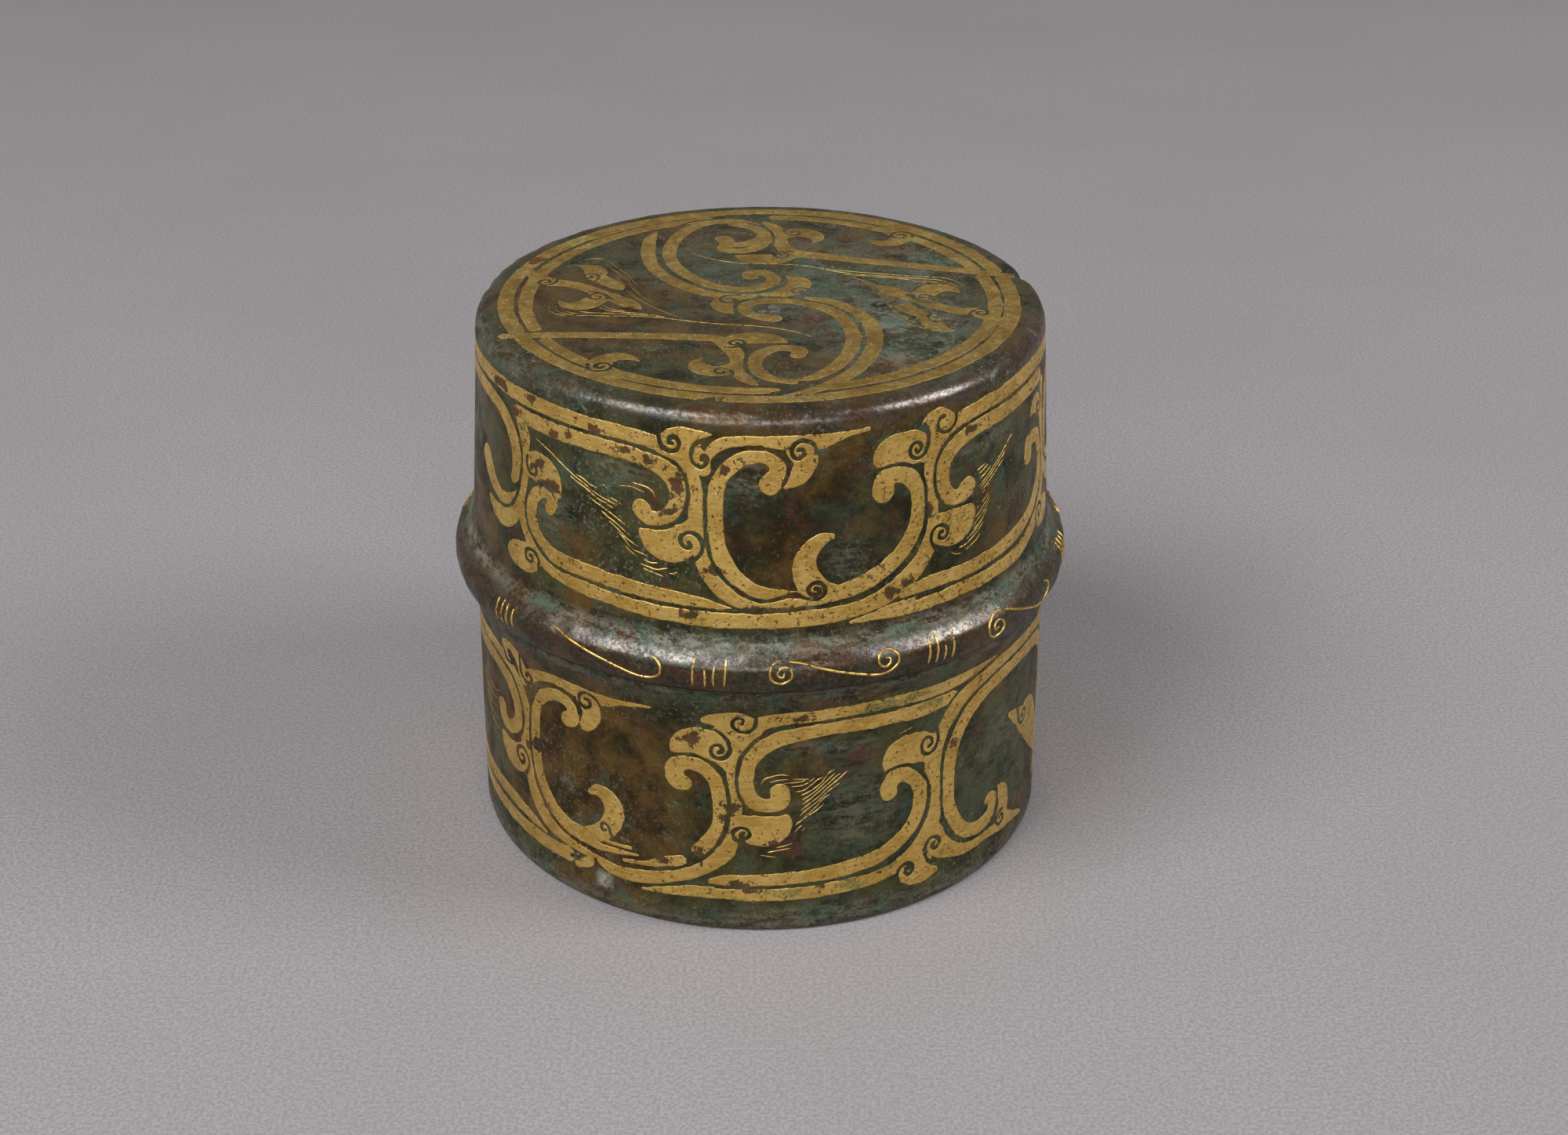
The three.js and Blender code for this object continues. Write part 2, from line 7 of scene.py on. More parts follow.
import bpy
import numpy as np
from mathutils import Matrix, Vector


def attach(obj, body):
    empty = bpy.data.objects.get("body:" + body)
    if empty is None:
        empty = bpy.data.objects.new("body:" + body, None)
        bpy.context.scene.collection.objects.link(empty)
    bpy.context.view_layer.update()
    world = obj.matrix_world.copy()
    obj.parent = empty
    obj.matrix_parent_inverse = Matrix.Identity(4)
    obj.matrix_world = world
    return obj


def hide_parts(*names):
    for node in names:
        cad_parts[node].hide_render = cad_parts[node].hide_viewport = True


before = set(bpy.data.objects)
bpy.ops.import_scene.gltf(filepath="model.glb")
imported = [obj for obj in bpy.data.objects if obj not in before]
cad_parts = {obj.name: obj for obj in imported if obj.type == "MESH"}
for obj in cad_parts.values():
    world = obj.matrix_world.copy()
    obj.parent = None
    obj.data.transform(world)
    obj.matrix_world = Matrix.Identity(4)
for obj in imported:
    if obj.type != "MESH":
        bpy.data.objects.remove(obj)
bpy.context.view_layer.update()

LOG = logging.getLogger("inlaid_box")
MM = 0.001

Array = np.ndarray
Socket = bpy.types.NodeSocket
Point = tuple[float, float]
Place = tuple[float, float, float]
Colour = tuple[float, float, float]
Paths = list[tuple[Array, Array]]


class Body(Enum):
    """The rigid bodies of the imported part."""

    BOX = "body"
    LID = "lid"


class Slot(Enum):
    """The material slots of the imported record."""

    BRONZE = "patinated_bronze"
    GOLD = "gold_inlay"


class Mark(Enum):
    """Vertex values that the finishes read, the bronze's first and then the gold's."""

    DUST = "dust"
    WEAR = "wear"
    BROWN = "brown"
    RED = "red"
    # Dark skin of the bronze, and painted shade: the lid's ring foot and lower ring and the body just under the ring
    # are darkened by it.
    DARK = "dark"
    CHALK = "chalk"
    RIM = "rim"
    RUST = "rust"
    MOSS = "moss"


BRONZE_MARKS = (Mark.DUST, Mark.WEAR, Mark.BROWN, Mark.RED, Mark.DARK, Mark.CHALK)
GOLD_MARKS = (Mark.RIM, Mark.RUST, Mark.MOSS)
Marks = dict[Mark, Array]


@dataclass(frozen=True)
class Sizes:
    """Sizes of the box in millimetres, as the solids have them."""

    total_height: float = 51.8
    parting: float = 26.3
    base_radius: float = 27.7
    base_edge: float = 0.5
    waist_radius: float = 27.45
    cone_top: float = 21.0
    flare_heights: tuple[float, ...] = (20.5, 22.0, 23.2, 24.4, 25.4, 26.3)
    flare_depths: tuple[float, ...] = (0.0, 0.06, 0.24, 0.6, 0.98, 1.2)
    floor: float = 2.4
    bore_radius: float = 24.45
    neck_radius: float = 25.4
    neck_top: float = 32.3
    mouth_radius: float = 25.7
    mouth_top: float = 33.5
    wall_foot: float = 31.5
    wall_top: float = 50.1
    shoulder: float = 1.7
    taper: float = 1.05
    ceiling: float = 49.8
    inside_top_radius: float = 24.65
    drawn_radius: float = 27.5

    @property
    def top_face_radius(self) -> float:
        """Radius of the flat part of the lid's top."""
        return self.waist_radius - self.taper - self.shoulder

    @property
    def half_turn(self) -> float:
        """Length of half a turn on the flat drawings."""
        return math.pi * self.drawn_radius

    def lid_radius(self, height: Array) -> Array:
        """Radius of the lid's outer wall at each height above the base."""
        share = (np.asarray(height, float) - self.wall_foot) / (self.wall_top - self.wall_foot)
        return self.waist_radius - self.taper * share

    def body_radius(self, height: Array) -> Array:
        """Radius of the body's outer wall, which flares towards the ledge.

        Args:
            height: Heights above the base.

        Returns:
            The wall's radius at each height.
        """
        height = np.asarray(height, float)
        cone = np.interp(height, (self.base_edge, self.cone_top), (self.base_radius, self.waist_radius))
        return cone + np.interp(height, self.flare_heights, self.flare_depths)


SIZES = Sizes()


@dataclass(frozen=True)
class Ramp:
    """A smooth ramp from 0 at its start to 1 at its end."""

    start: float
    end: float

    def __call__(self, value: Array) -> Array:
        """The ramp's height at each value."""
        share = np.clip((value - self.start) / (self.end - self.start), 0, 1)
        return share * share * (3 - 2 * share)


@dataclass(frozen=True)
class Bump:
    """A bell-shaped bump, 1 at its centre and 1 / e at its width from it."""

    centre: float
    width: float

    def __call__(self, value: Array) -> Array:
        """The bump's height at each value."""
        return np.exp(-((value - self.centre) / self.width) ** 2)


@dataclass(frozen=True)
class Spot:
    """A soft spot on a face, 1 in its middle, with a firmer edge for a higher power."""

    at: Point
    half: Point
    power: int = 2

    def __call__(self, across: Array, up: Array) -> Array:
        """The spot's strength at each point of the face."""
        x, y = (across - self.at[0]) / self.half[0], (up - self.at[1]) / self.half[1]
        return np.exp(-(x**self.power) - y**self.power)


def on_cylinder(radius: Array, angle: Array, height: Array) -> Array:
    """Points at distances from the axis, angles from the front to the right, and heights."""
    sides = np.broadcast_arrays(radius * np.sin(angle), -radius * np.cos(angle), height)
    return np.stack(sides, -1)


@dataclass
class Lumps:
    """Smooth noise on a lattice, the same for every run.

    The seed fills the lattice, and the cell is the distance between its points in millimetres.
    """

    seed: int
    cell: float
    side: int = 48

    def __post_init__(self) -> None:
        """Draws the values at the lattice's points."""
        self.table = np.random.default_rng(self.seed).uniform(-1.0, 1.0, (self.side,) * 3)

    def __call__(self, points: Array) -> Array:
        """Noise values.

        Args:
            points: Rows of coordinates in millimetres.

        Returns:
            One value from -1 to 1 for each row.
        """
        scaled = points / self.cell
        base = np.floor(scaled).astype(int)
        part = Ramp(0, 1)(scaled - base)
        total = np.zeros(len(points))
        for corner in range(8):
            bits = np.array([corner & 1, corner >> 1 & 1, corner >> 2 & 1])
            weight = np.prod(np.where(bits, part, 1 - part), axis=1)
            index = (base + bits) % self.side
            total += weight * self.table[index[:, 0], index[:, 1], index[:, 2]]
        return total


@dataclass
class Relief:
    """Hand-made unevenness of the bronze, shared by the castings and the gold that lies in them."""

    broad_depth: float = 0.07
    middle_depth: float = 0.025
    pit_depth: float = 0.16
    pit_crest: float = 0.1
    fine_depth: float = 0.06

    def __post_init__(self) -> None:
        """Draws the noises."""
        self.broad = Lumps(3, 14.0)
        self.middle = Lumps(7, 4.5)
        self.fine = Lumps(11, 1.1)
        self.pits = Lumps(19, 2.2)

    def smooth(self, points: Array) -> Array:
        """Slow unevenness in millimetres, the same under gold and bare bronze."""
        return self.broad_depth * self.broad(points) + self.middle_depth * self.middle(points)

    def rough(self, points: Array, amount: Array) -> Array:
        """Corroded unevenness in millimetres, by how corroded each point is."""
        pits = np.minimum(self.pits(points), self.pit_crest)
        return amount * (pits * self.pit_depth + self.fine(points) * self.fine_depth)


RELIEF = Relief()


def spline(knots: Array, spacing: float) -> Array:
    """Smooth curve through knots.

    Args:
        knots: One row for each knot, place first and then width or other values.
        spacing: Distance between the points of the result.

    Returns:
        Rows along the curve.
    """
    least_gap = 1e-6
    gaps = np.sqrt(np.hypot(*np.diff(knots[:, :2], axis=0).T)) + least_gap
    at = np.concatenate([[0], np.cumsum(gaps)])
    if len(knots) > 2:
        slopes = np.gradient(knots, at, axis=0)
    else:
        slopes = np.repeat(np.diff(knots, axis=0) / gaps[0], 2, axis=0)
    rows = []
    for i, gap in enumerate(gaps):
        length = math.hypot(*(knots[i + 1, :2] - knots[i, :2]))
        count = max(2, int(math.ceil(length / spacing)))
        t = np.linspace(0, 1, count, endpoint=i == len(gaps) - 1)[:, None]
        rows.append(
            (2 * t**3 - 3 * t**2 + 1) * knots[i]
            + (t**3 - 2 * t**2 + t) * gap * slopes[i]
            + (3 * t**2 - 2 * t**3) * knots[i + 1]
            + (t**3 - t**2) * gap * slopes[i + 1]
        )
    return np.concatenate(rows)


def strokes(text: str) -> list[Array]:
    """Strokes of a drawing.

    Args:
        text: One stroke on each line, or on several where a line ends in a comma. Commas part the knots,
            spaces part each knot's numbers: across, up and, where the stroke has one, its width. A knot
            without a width has the width of the knot before it.

    Returns:
        One array of knots for each stroke.
    """
    drawn = []
    for line in text.strip().replace(",\n", ",").splitlines():
        width: list[str] = []
        knots = []
        for across, up, *given in (knot.split() for knot in line.split(",")):
            width = given or width
            knots.append([float(n) for n in (across, up, *width)])
        drawn.append(np.array(knots))
    return drawn


def mirrored(drawn: list[Array], about: float) -> list[Array]:
    """The same strokes mirrored left to right about a line."""
    return [np.column_stack([2 * about - knots[:, 0], knots[:, 1:]]) for knots in drawn]


def half_turned(drawn: list[Array]) -> list[Array]:
    """The same strokes turned half round about the middle."""
    return [np.column_stack([-knots[:, :2], knots[:, 2:]]) for knots in drawn]


def arc(radius: float, start: float, end: float, width: float) -> Array:
    """Stroke along a slightly uneven circle.

    Args:
        radius: Radius of the circle.
        start: Where the stroke starts, in degrees from the right.
        end: Where it ends.
        width: Width of the stroke.

    Returns:
        The knots.
    """
    knots, sway, swell = 18, 0.09, 0.08
    angle = np.radians(np.linspace(start, end, knots))
    reach = radius + sway * np.sin(3 * angle + radius)
    wide = width + swell * np.sin(5 * angle + 2 * radius)
    return np.column_stack([reach * np.cos(angle), reach * np.sin(angle), wide])


@dataclass(frozen=True)
class Drawing:
    """Ornament of one face, laid out flat in millimetres.

    Losses are places and radii where the sheet is gone. Rust and moss are places and half sizes of
    corroded patches, red ones and green ones. The swell is added to every stroke's edge.
    """

    gold: list[Array]
    grooves: list[Array]
    hairs: list[Array]
    swell: float
    losses: list[tuple[float, float, float]]
    rust: list[tuple[float, float, float, float]]
    moss: list[tuple[float, float, float, float]]


# The lid's wall: gold bands, lines cut into them, and hair-fine wires.
LID_GOLD = strokes("""
-37 49.05 1.2,-28 49 1.25,-20 48.95,-14 48.85,-11 48.65 1.35,-9 48.2 1.5,-7.6 47.45 1.6,-6.5 46.4 1.5,
-5.85 45 1.25,-5.6 43.6 1.2,-5.65 42 1.25,-5.6 40.6 1.4,-5.3 39.2 1.2,-4.95 38.1 1.45,-4.4 36.9 1.5,
-3.4 35.6 1.4,-2.1 34.65 1.2,-.2 34.1 .8,2 34.25 .85,4 34.2 .75,5.6 34.55 .95,7.2 34.95 1.3,9.2 35.5 1.4,
11.2 36.4,13 37.8,14.2 39.5 1.35,14.7 41.4,14.5 43.2 1.4,13.6 44.6 1.5,12.2 45.1,11.2 44.7 1.7,11.15 43.75 2
-25.6 47.25 1.2,-20 47.2 1.3,-14 47.25 1.25,-11.3 47,-9.4 46.55 1.35,-8.1 45.8 1.5,-7.4 44.7 1.4,
-7.35 43.5 1.3,-7.8 42.4 1.25,-8.8 41.65 1.2,-10 41.55 1.35,-10.7 42.25 1.6
-10.8 40.3 .15,-10 39.7 1.4,-9 39.25 2.5,-7.9 39.25 3.1,-6.9 39.7 2.9,-6.2 40.4 2.2,-5.8 41.3 1.4
.8 45.3 1.7,1.6 46.3 1.5,1.35 47.35 1.3,.3 47.95 1.2,-1 47.85 1.25,-2.4 47.15 1.3,-3.45 46 1.35,-3.95 44.5 1.4,
-4.05 43,-4 41.3,-3.75 39.5,-3.15 38 1.45,-2.2 36.6,-1 35.7 1.3,.5 35.25 .95,2 35.2 .55,3.3 35.25 .1
6.3 40.25 .5,5.4 40.05 1,4.45 39.2 1.5,3.95 38.2 1.85,3.95 37 2.1,4.4 36 2.3,5.4 35.2 2,6.8 34.9 1.2
-4.7 47.3 .5,-4.35 48.2 .8,-3.4 48.95 .9,-2 49.25 .75,0 49.3 .7,2 49.1 1.1,4 49.1 1.2,5.5 49.05 1.15,
6.8 49.3 .7,8.2 49.55 .3,9.7 49.68 .25
3.4 48.6 2.2,4 47.5 2,3.7 46.5 1.7,3.1 45.8 1.3,2.3 45.2 .4
-8.7 48.7 .9,-8.2 49.3 1,-7.2 49.4 1.5,-6.2 49.2 1.8,-5.4 49.45 1,-4.3 49.65 .15
-7.9 48.6 1.3,-6.8 48 1.8,-5.5 47.4,-5 46.6 1.2
-25.4 47.3 1.1,-24.9 46.4 1.3,-24.45 45.4 1.5,-24.35 44 1,-24.4 42.5 .9,-24.55 41 1.05,-24.85 39.5 1.25,
-24.75 38 1.15,-24.3 36.8 1.2,-23.4 35.7 1.3,-22.2 34.85 1.35,-20.5 34 1.3,-18 33.5 1.25,-14 33.15,
-10 32.8 1.2,-6 32.65 1.35,0 32.6 1.3,4 32.7 1.35,8 33,10.5 33.55 1.4,12.5 34.45 1.6,14.2 35.6 1.7,15.4 37 1.6,
16.1 38.5 1.4,16.25 40 1,16.25 41.5 .95,16.05 43,15.95 44.5 1.1,16.2 45.8 1.4,16.7 46.9,17.8 47.7 1.1,
19.3 48.4 1.3,22 48.75 1.45,26 48.95 1.5,32 49.25,38 49.3 1.4,49.4 49.05 1.2
34.5 47.55 1.3,32 47.6 1.4,26 47.35 1.35,22 47.1 1.3,20 46.75,18.6 46.1 1.4,17.65 45.1 1.45,17.25 43.9 1.5,
17.45 42.6 1.4,18.2 41.6 1.35,19.3 41.3 1.4,20.4 41.85 1.8
16.2 39.7 .9,17 39 2.5,18 38.6 3.2,19 38.6,20 38.9 2.5,20.7 39.45 1.3,21 39.9 .2
10.55 46.1 .2,10.95 46.8 1.5,11.9 47.3 2.6,13.2 47.3 2.9,14.3 47.2,15.2 46.8 2.2,16 45.9 1.2
15.4 49.1 .6,16.2 49.4 1.2,17.2 49.2 1.7,18.1 48.8 1.4,18.6 48.3 .9
15.9 47 1,16.6 48 1.8,17.6 48.2 1.4
-20.75 39.65 1.05,-20.35 40.5,-21.1 41.15 1.15,-22.2 40.95 1.35,-23.1 40 1.45,-23.4 38.6,-23.1 37.2,-22.3 36.2,
-21.1 35.55 1.4,-19.5 35.15 1.35,-16 34.95,-10 34.5 1.25,-5.5 34.15 1,-2.5 33.75 .1
-24.2 42.2 .7,-23.4 42.9 2.1,-22.2 43.05 2.8,-21 42.85 2.5,-20.2 42.2 1.7,-19.75 41.45 .8
-37 47.4 1.2,-31 47.1 1.25,-28.4 46.5 1.3,-26.9 45.4 1.4,-26 44.1,-25.75 42.5 1.35,-25.9 41.2 1.2,
-26.2 40.75 .9
-25.4 39.5 .5,-26.3 38.7 .9,-27.7 38.1 1,-29.5 38.3 1.2,-31 39.3 1.7,-32.2 40.6 2
-25.2 38.2 1.2,-26.4 37 1.5,-28 36.3 1.9,-29.6 36.3 1.5,-31.2 36.9 .5
-22.4 34.5 1.2,-23.5 33.85 2.5,-24.7 33.65 2.6,-25.9 33.55 2.1,-26.8 33.5 .7
12.9 33.45 .3,15 33.95 1.1,18 34 1.2,20.5 33.95,24 34.15 1.25,28 34.55 1.3,31 35.3 1.35,33 36.6 1.4,34.2 38.4,
34.3 40.4,33.5 42,32.2 42.5,31 42.2 1.6,30.8 41.2 1.8
8 31.9 .15,10.5 32.15 .8,13 32.3 1.3,16 32.25,20 32.25 1.25,25 32.35,28.5 32.6 1.3,31.5 33.4 1.35,
33.8 34.8 1.4,35.2 36.8 1.3,35.7 39 1.1,35.6 41 1,35.2 43,35.1 44.8 1.1,35.6 46.5
35 43.9 .7,34.4 44.6 1.6,33.4 45.2 1.8,32.4 45.2 1.2,31.7 44.8 .4
43.2 40.6 2,42 39.3 1.7,40.5 38.3 1.2,38.7 38.1 1,37.3 38.7 .9,36.8 40.2 1,36.9 42.5 1.2,37.1 44.1 1.3,
37.9 45.4 1.4,39.3 46.5 1.3,42 47.1 1.25,49.4 47.4 1.2
36.2 38.2 1.2,37.4 37 1.5,39 36.3 1.9,40.6 36.3 1.5,42.2 36.9 .5
33.3 34.5 1.2,34.4 33.85 2.5,35.6 33.65 2.6,36.8 33.55 2.1,37.7 33.5 .7
""")

LID_GROOVES = strokes("""
-5.95 38,-5.3 38.6,-5.05 39.5,-5.45 40.35,-6.3 40.6,-7 40.15,-6.95 39.5,-6.45 39.15,-6.1 39.35,-6.3 39.7
-9.1 49.3,-8.8 48.3,-8.1 47.9,-7.4 48.1,-7.2 48.75,-7.55 49.2,-8.05 49.1,-8.1 48.7,-7.8 48.6
-4.3 49.5,-5.3 49.05,-5.95 48.4,-6.1 47.6,-5.75 46.95,-5.1 46.75,-4.7 47.15,-4.7 47.7,-5.05 47.8,-5.15 47.4
5 48,4.85 48.6,4.4 49.05,3.7 49.2,3.05 48.95,2.75 48.4,2.9 47.8,3.4 47.6,3.85 47.95,3.75 48.4,3.35 48.4
3.1 35.15,3.9 34.65,4.9 34.5,5.6 34.85,5.7 35.5,5.25 36,4.6 36,4.2 35.5,4.45 34.98,5.05 34.95,5.2 35.4,
4.85 35.5
16.4 37.2,16.05 37.95,16.15 38.75,16.7 39.15,17.4 39.1,17.9 38.65,17.85 38.1,17.35 37.85,16.95 38.1,17 38.5,
17.3 38.5
18.9 49.4,18.95 48.6,18.5 48,17.8 47.75,17.1 48,16.8 48.6,17 49.15,17.55 49.25
15.35 49,15.75 48.1,15.7 47.1,15.25 46.3,14.5 46.1,13.9 46.5,13.85 47.1,14.25 47.55,14.85 47.4,14.95 46.95,
14.6 46.65,14.4 46.95
-23.9 43.7,-24 42.85,-23.6 42.2,-22.95 42.15,-22.6 42.6,-22.85 43.05,-23.3 42.95,-23.35 42.65
-22.3 33.2,-22.2 34,-22.7 34.6,-23.5 34.8,-24.1 34.4,-24.1 33.8,-23.6 33.5,-23.1 33.75,-23.25 34.15,
-23.55 34.05
10.5 45.75,12 45.95,13.4 45.75,14.6 45.05,15.3 43.8,15.5 42.3,15.45 40.5,15.2 39,14.4 37.5,13 36.1,11 35,
8.5 34.15,6 33.8,3 33.7,0 33.6,-3 33.55
2 45.2,2.45 46.4,2.3 47.3,1.5 48.1,.2 48.6,-1.5 48.5,-2.9 47.8,-4 46.6,-4.7 45,-4.85 43,-4.8 41,-4.55 39.3,
-4.05 37.8,-3.1 36.5,-2 35.5,-.9 34.85,.3 34.5,1.7 34.75,3.1 35.15
-25 48.1,-16 48.1,-11 47.9,-9 47.45,-7.5 46.8,-6.6 45.6,-6.35 44,-6.5 42.8,-7.1 41.7,-8.2 40.9,-9.5 40.65,
-11.2 40.75
34 48.5,25 48.15,22 48,20 47.75,18.5 47.3,17.3 46.4,16.6 45,16.45 43.5,16.75 42.1,17.5 41,18.8 40.45,21 40.4
-20.1 40.8,-20.8 41.55,-22 41.6,-23.1 41.1,-24 39.9,-24.2 38.3,-23.8 36.9,-22.8 35.8,-21.5 34.9,-20 34.3,
-16 34.1,-12 33.8,-8 33.6,-4 33.5
-26.5 46.9,-25.6 45.7,-24.95 44.2,-24.85 42.4,-25.1 41,-25.6 39.4,-26.6 38,-28 37.3,-30 37.4
31.2 43.1,32.4 43.3,33.8 42.9,34.8 41.4,35.1 39.5,34.9 37.6,33.9 35.9,31.8 34.5,28.5 33.6,24 33.2,19 33.1,
14.5 32.9
37.4 46.9,36.5 45.7,36 44.2,36.1 42.4,36.2 40.6,36.5 39.2,37.5 38,39 37.3,41 37.4
33.2 33.2,33.1 34,33.6 34.6,34.4 34.8,35 34.4,35 33.8,34.5 33.5,34 33.75,34.15 34.15
34.9 45.6,35 44.75,34.6 44.1,33.95 44.05,33.6 44.5,33.85 44.95,34.3 44.85
""")

LID_HAIRS = strokes("""
-22.6 45.7 .12,-21.6 45.4,-20.5 45 .13,-19.5 44.5 .15,-18.6 44.06,-17.5 43.6,-16.5 43.2,-15.5 42.75,-14.5 42.4,
-13.25 42.1 .14
-17.5 43.9 .13,-16.75 43.7 .15,-16.1 43.4 .13,-15.25 43.2 .11
-18.2 43.56 .15,-17.4 43.2,-16.5 42.9,-15.5 42.4 .17,-14.75 42.1,-14.1 42 .13
-14.1 41.9 .15,-13.5 41.7
-16.1 42.2 .13,-15.4 41.85 .15,-14.5 41.5 .17,-13.6 41.1 .16,-12.9 40.75 .15,-12.25 40.4 .13
-14.75 41.2 .15,-14 40.75 .17,-13.25 40.4 .15,-12.75 40.1,-11.75 39.5 .13
-13.9 40.4 .14,-13.4 40.1 .16,-12.75 39.65 .15,-11.9 39.1 .13
-13 39.6 .14,-12.4 39.1 .15,-11.9 38.6,-11.5 38.25 .13
-12.6 39.35 .13,-12 39.1,-11.5 38.85 .15,-11 38.6 .13
-12.2 38.4 .15,-11.7 38 .17,-11.06 37.7 .14
-11.4 38.2 .13,-10.9 38.1 .16,-10.1 37.9 .15
-10.4 37.5 .15,-9.75 37.3 .18,-9.1 37.4 .16
-10.75 37.06 .15,-10.1 36.9 .18,-9.25 36.75,-8.6 36.9 .17,-8.15 37.06
-10.5 36.7 .15,-9.9 36.5 .17,-9.25 36.35,-8.6 36.2 .15
-8.06 36.6 .24,-7.75 36.56,-7.3 36.8 .2
-11.6 44.5 .16,-10.9 44.4 .18,-10.1 44.25 .2,-9.6 43.9 .22,-9.4 43.5 .24
-12.9 43.9 .17,-12.4 44,-11.5 44.06 .12,-10.9 43.9 .13,-10.4 43.8 .12
-14.6 43.7 .17,-14 43.4 .13
-15 43.45 .12,-14.5 43.6
-13.55 43.05 .17,-13.3 43.2
-13.75 42.62 .13,-13.1 42.42 .15,-12.6 42.2 .13
-12.9 41.15 .14,-12.7 41.05
21.7 43 .15,22.25 43.15,22.8 43.3 .14
21.9 42.6 .16,22.5 42.8,23.2 43.1 .14
22.1 42.1 .18,22.9 42.4 .16,23.6 42.8 .14
22 41.4 .16,22.6 41.75,23.6 42.3 .15,25 43.2,26.25 44 .14,27 44.5,27.6 44.6 .12
22.1 41.2 .14,22.9 41.6 .15,24 42.2,25.1 42.9 .14,26 43.4 .12
22.25 40.9 .14,23 41.25 .15,24 41.8 .14,25 42.4 .13,25.6 42.7 .12
22.4 40.6 .13,22.9 40.9 .14,23.4 41.2 .13
21.6 39.4 .2,22 39.6
22.3 39.75 .13,22.75 40 .14,23.2 40.3 .13
21.4 38.6 .17,22 38.9,22.6 39.4 .15,23.1 39.8 .14,23.3 40.1 .13
21 37.8 .16,21.6 38.2 .17,22.4 38.7 .16,23 39.3 .15,23.4 39.8 .13
21.1 37.5 .14,21.9 37.9 .15,22.6 38.4,22.9 38.8 .14,23.1 39.1 .13
20.2 36.9 .17,21 37.2,21.9 37.7 .16,22.5 38.2 .14
19.3 36.35 .17,20 36.4 .18,21 36.8 .17,22 37.4 .15,22.5 37.8 .13
20.1 35.9 .15,20.75 36.1 .17,21.5 36.4 .16,22 36.8 .14
18.3 36.25 .17,18.6 36 .2,19.1 35.8,19.5 35.75 .18
44.4 41,46 41.4,48 42.2
44.6 40.2,46.2 40.6,48.4 41.4
44 39.2,46 39.6,48 40.4
43 38.2,45 38.5,47 39.2
""")

# The body's wall. Half of a cell is drawn and mirrored.
MIRROR = 29.3
CAP_HALF = strokes("""
12.5 4.9 1.1,14.5 6 1.5,16.2 7.6 1.7,17.2 9.4 1.5,17.35 11.2 1.3,17.2 13 1.4,16.9 14.8 1.9,17.2 16.5 1.8,
17.8 18.2 1.5,18.8 19.4,20.3 20.75 1.45,22.3 21.6 1.4,25 22.1 1.35,28 22.35,29.3 22.35
29.3 20.8 1.4,28 20.8,25 20.4,22.5 19.6,20.6 18.2,19.5 16.4,18.9 14.3,18.8 12,18.95 10,19.6 8,20.2 7 1.3
11.8 15.9 .3,12.3 16.8 1.7,13.3 17.4 2.8,14.5 17.4 3.1,15.6 17.2 2.9,16.6 16.6 2.4,17.2 15.6 1.4
13.4 4.8 .6,13.6 3.8 .8,14.5 3.4 1.5,15.7 3.4 1.9,16.7 3.4 1.4,17.2 3.3 .8
15.3 5.2 1.6,16 4.6 1.8
16.7 8.6 1.4,17.2 7.2 2,17.7 5.9 2.3,18.7 5 1.8,20.2 4.2 1.2,21.4 3.9 .4
8 6.2 1.4,11 6.8,13.2 7.9,14.7 9.4,15.4 11.2,15.4 12.8,14.8 14.2 1.45,13.7 15 1.5,12.6 14.9,12 14,
12.1 13.4 1.4
""")
CAP_GROOVES = strokes("""
17.2 18.6,17.35 17.6,17 16.6,16.3 16.3,15.6 16.7,15.5 17.5,15.9 18.05,16.5 17.9,16.65 17.3,16.3 17.1
18.2 3.5,17.1 4,16.3 5,16.2 6.1,16.7 6.9,17.5 6.8,17.9 6.1,17.4 5.6,17 6,17.2 6.3
13.2 3.4,13.1 4.2,13.5 4.9,14.2 5.1,14.8 4.7,14.75 4.1,14.3 3.85,13.95 4.2
11.4 15.5,12.6 15.9,14 15.8,15.2 14.9,16.3 13.2,16.5 11.5,15.95 9.2,14.7 7.4,12.5 6,9 5.3,5 5
29.3 21.6,26 21.4,23.5 20.9,21 19.9,19.2 18.3,18.3 16.8,18 15.2,17.95 12,18.1 9.4,18.8 7,19.3 6.3
""")

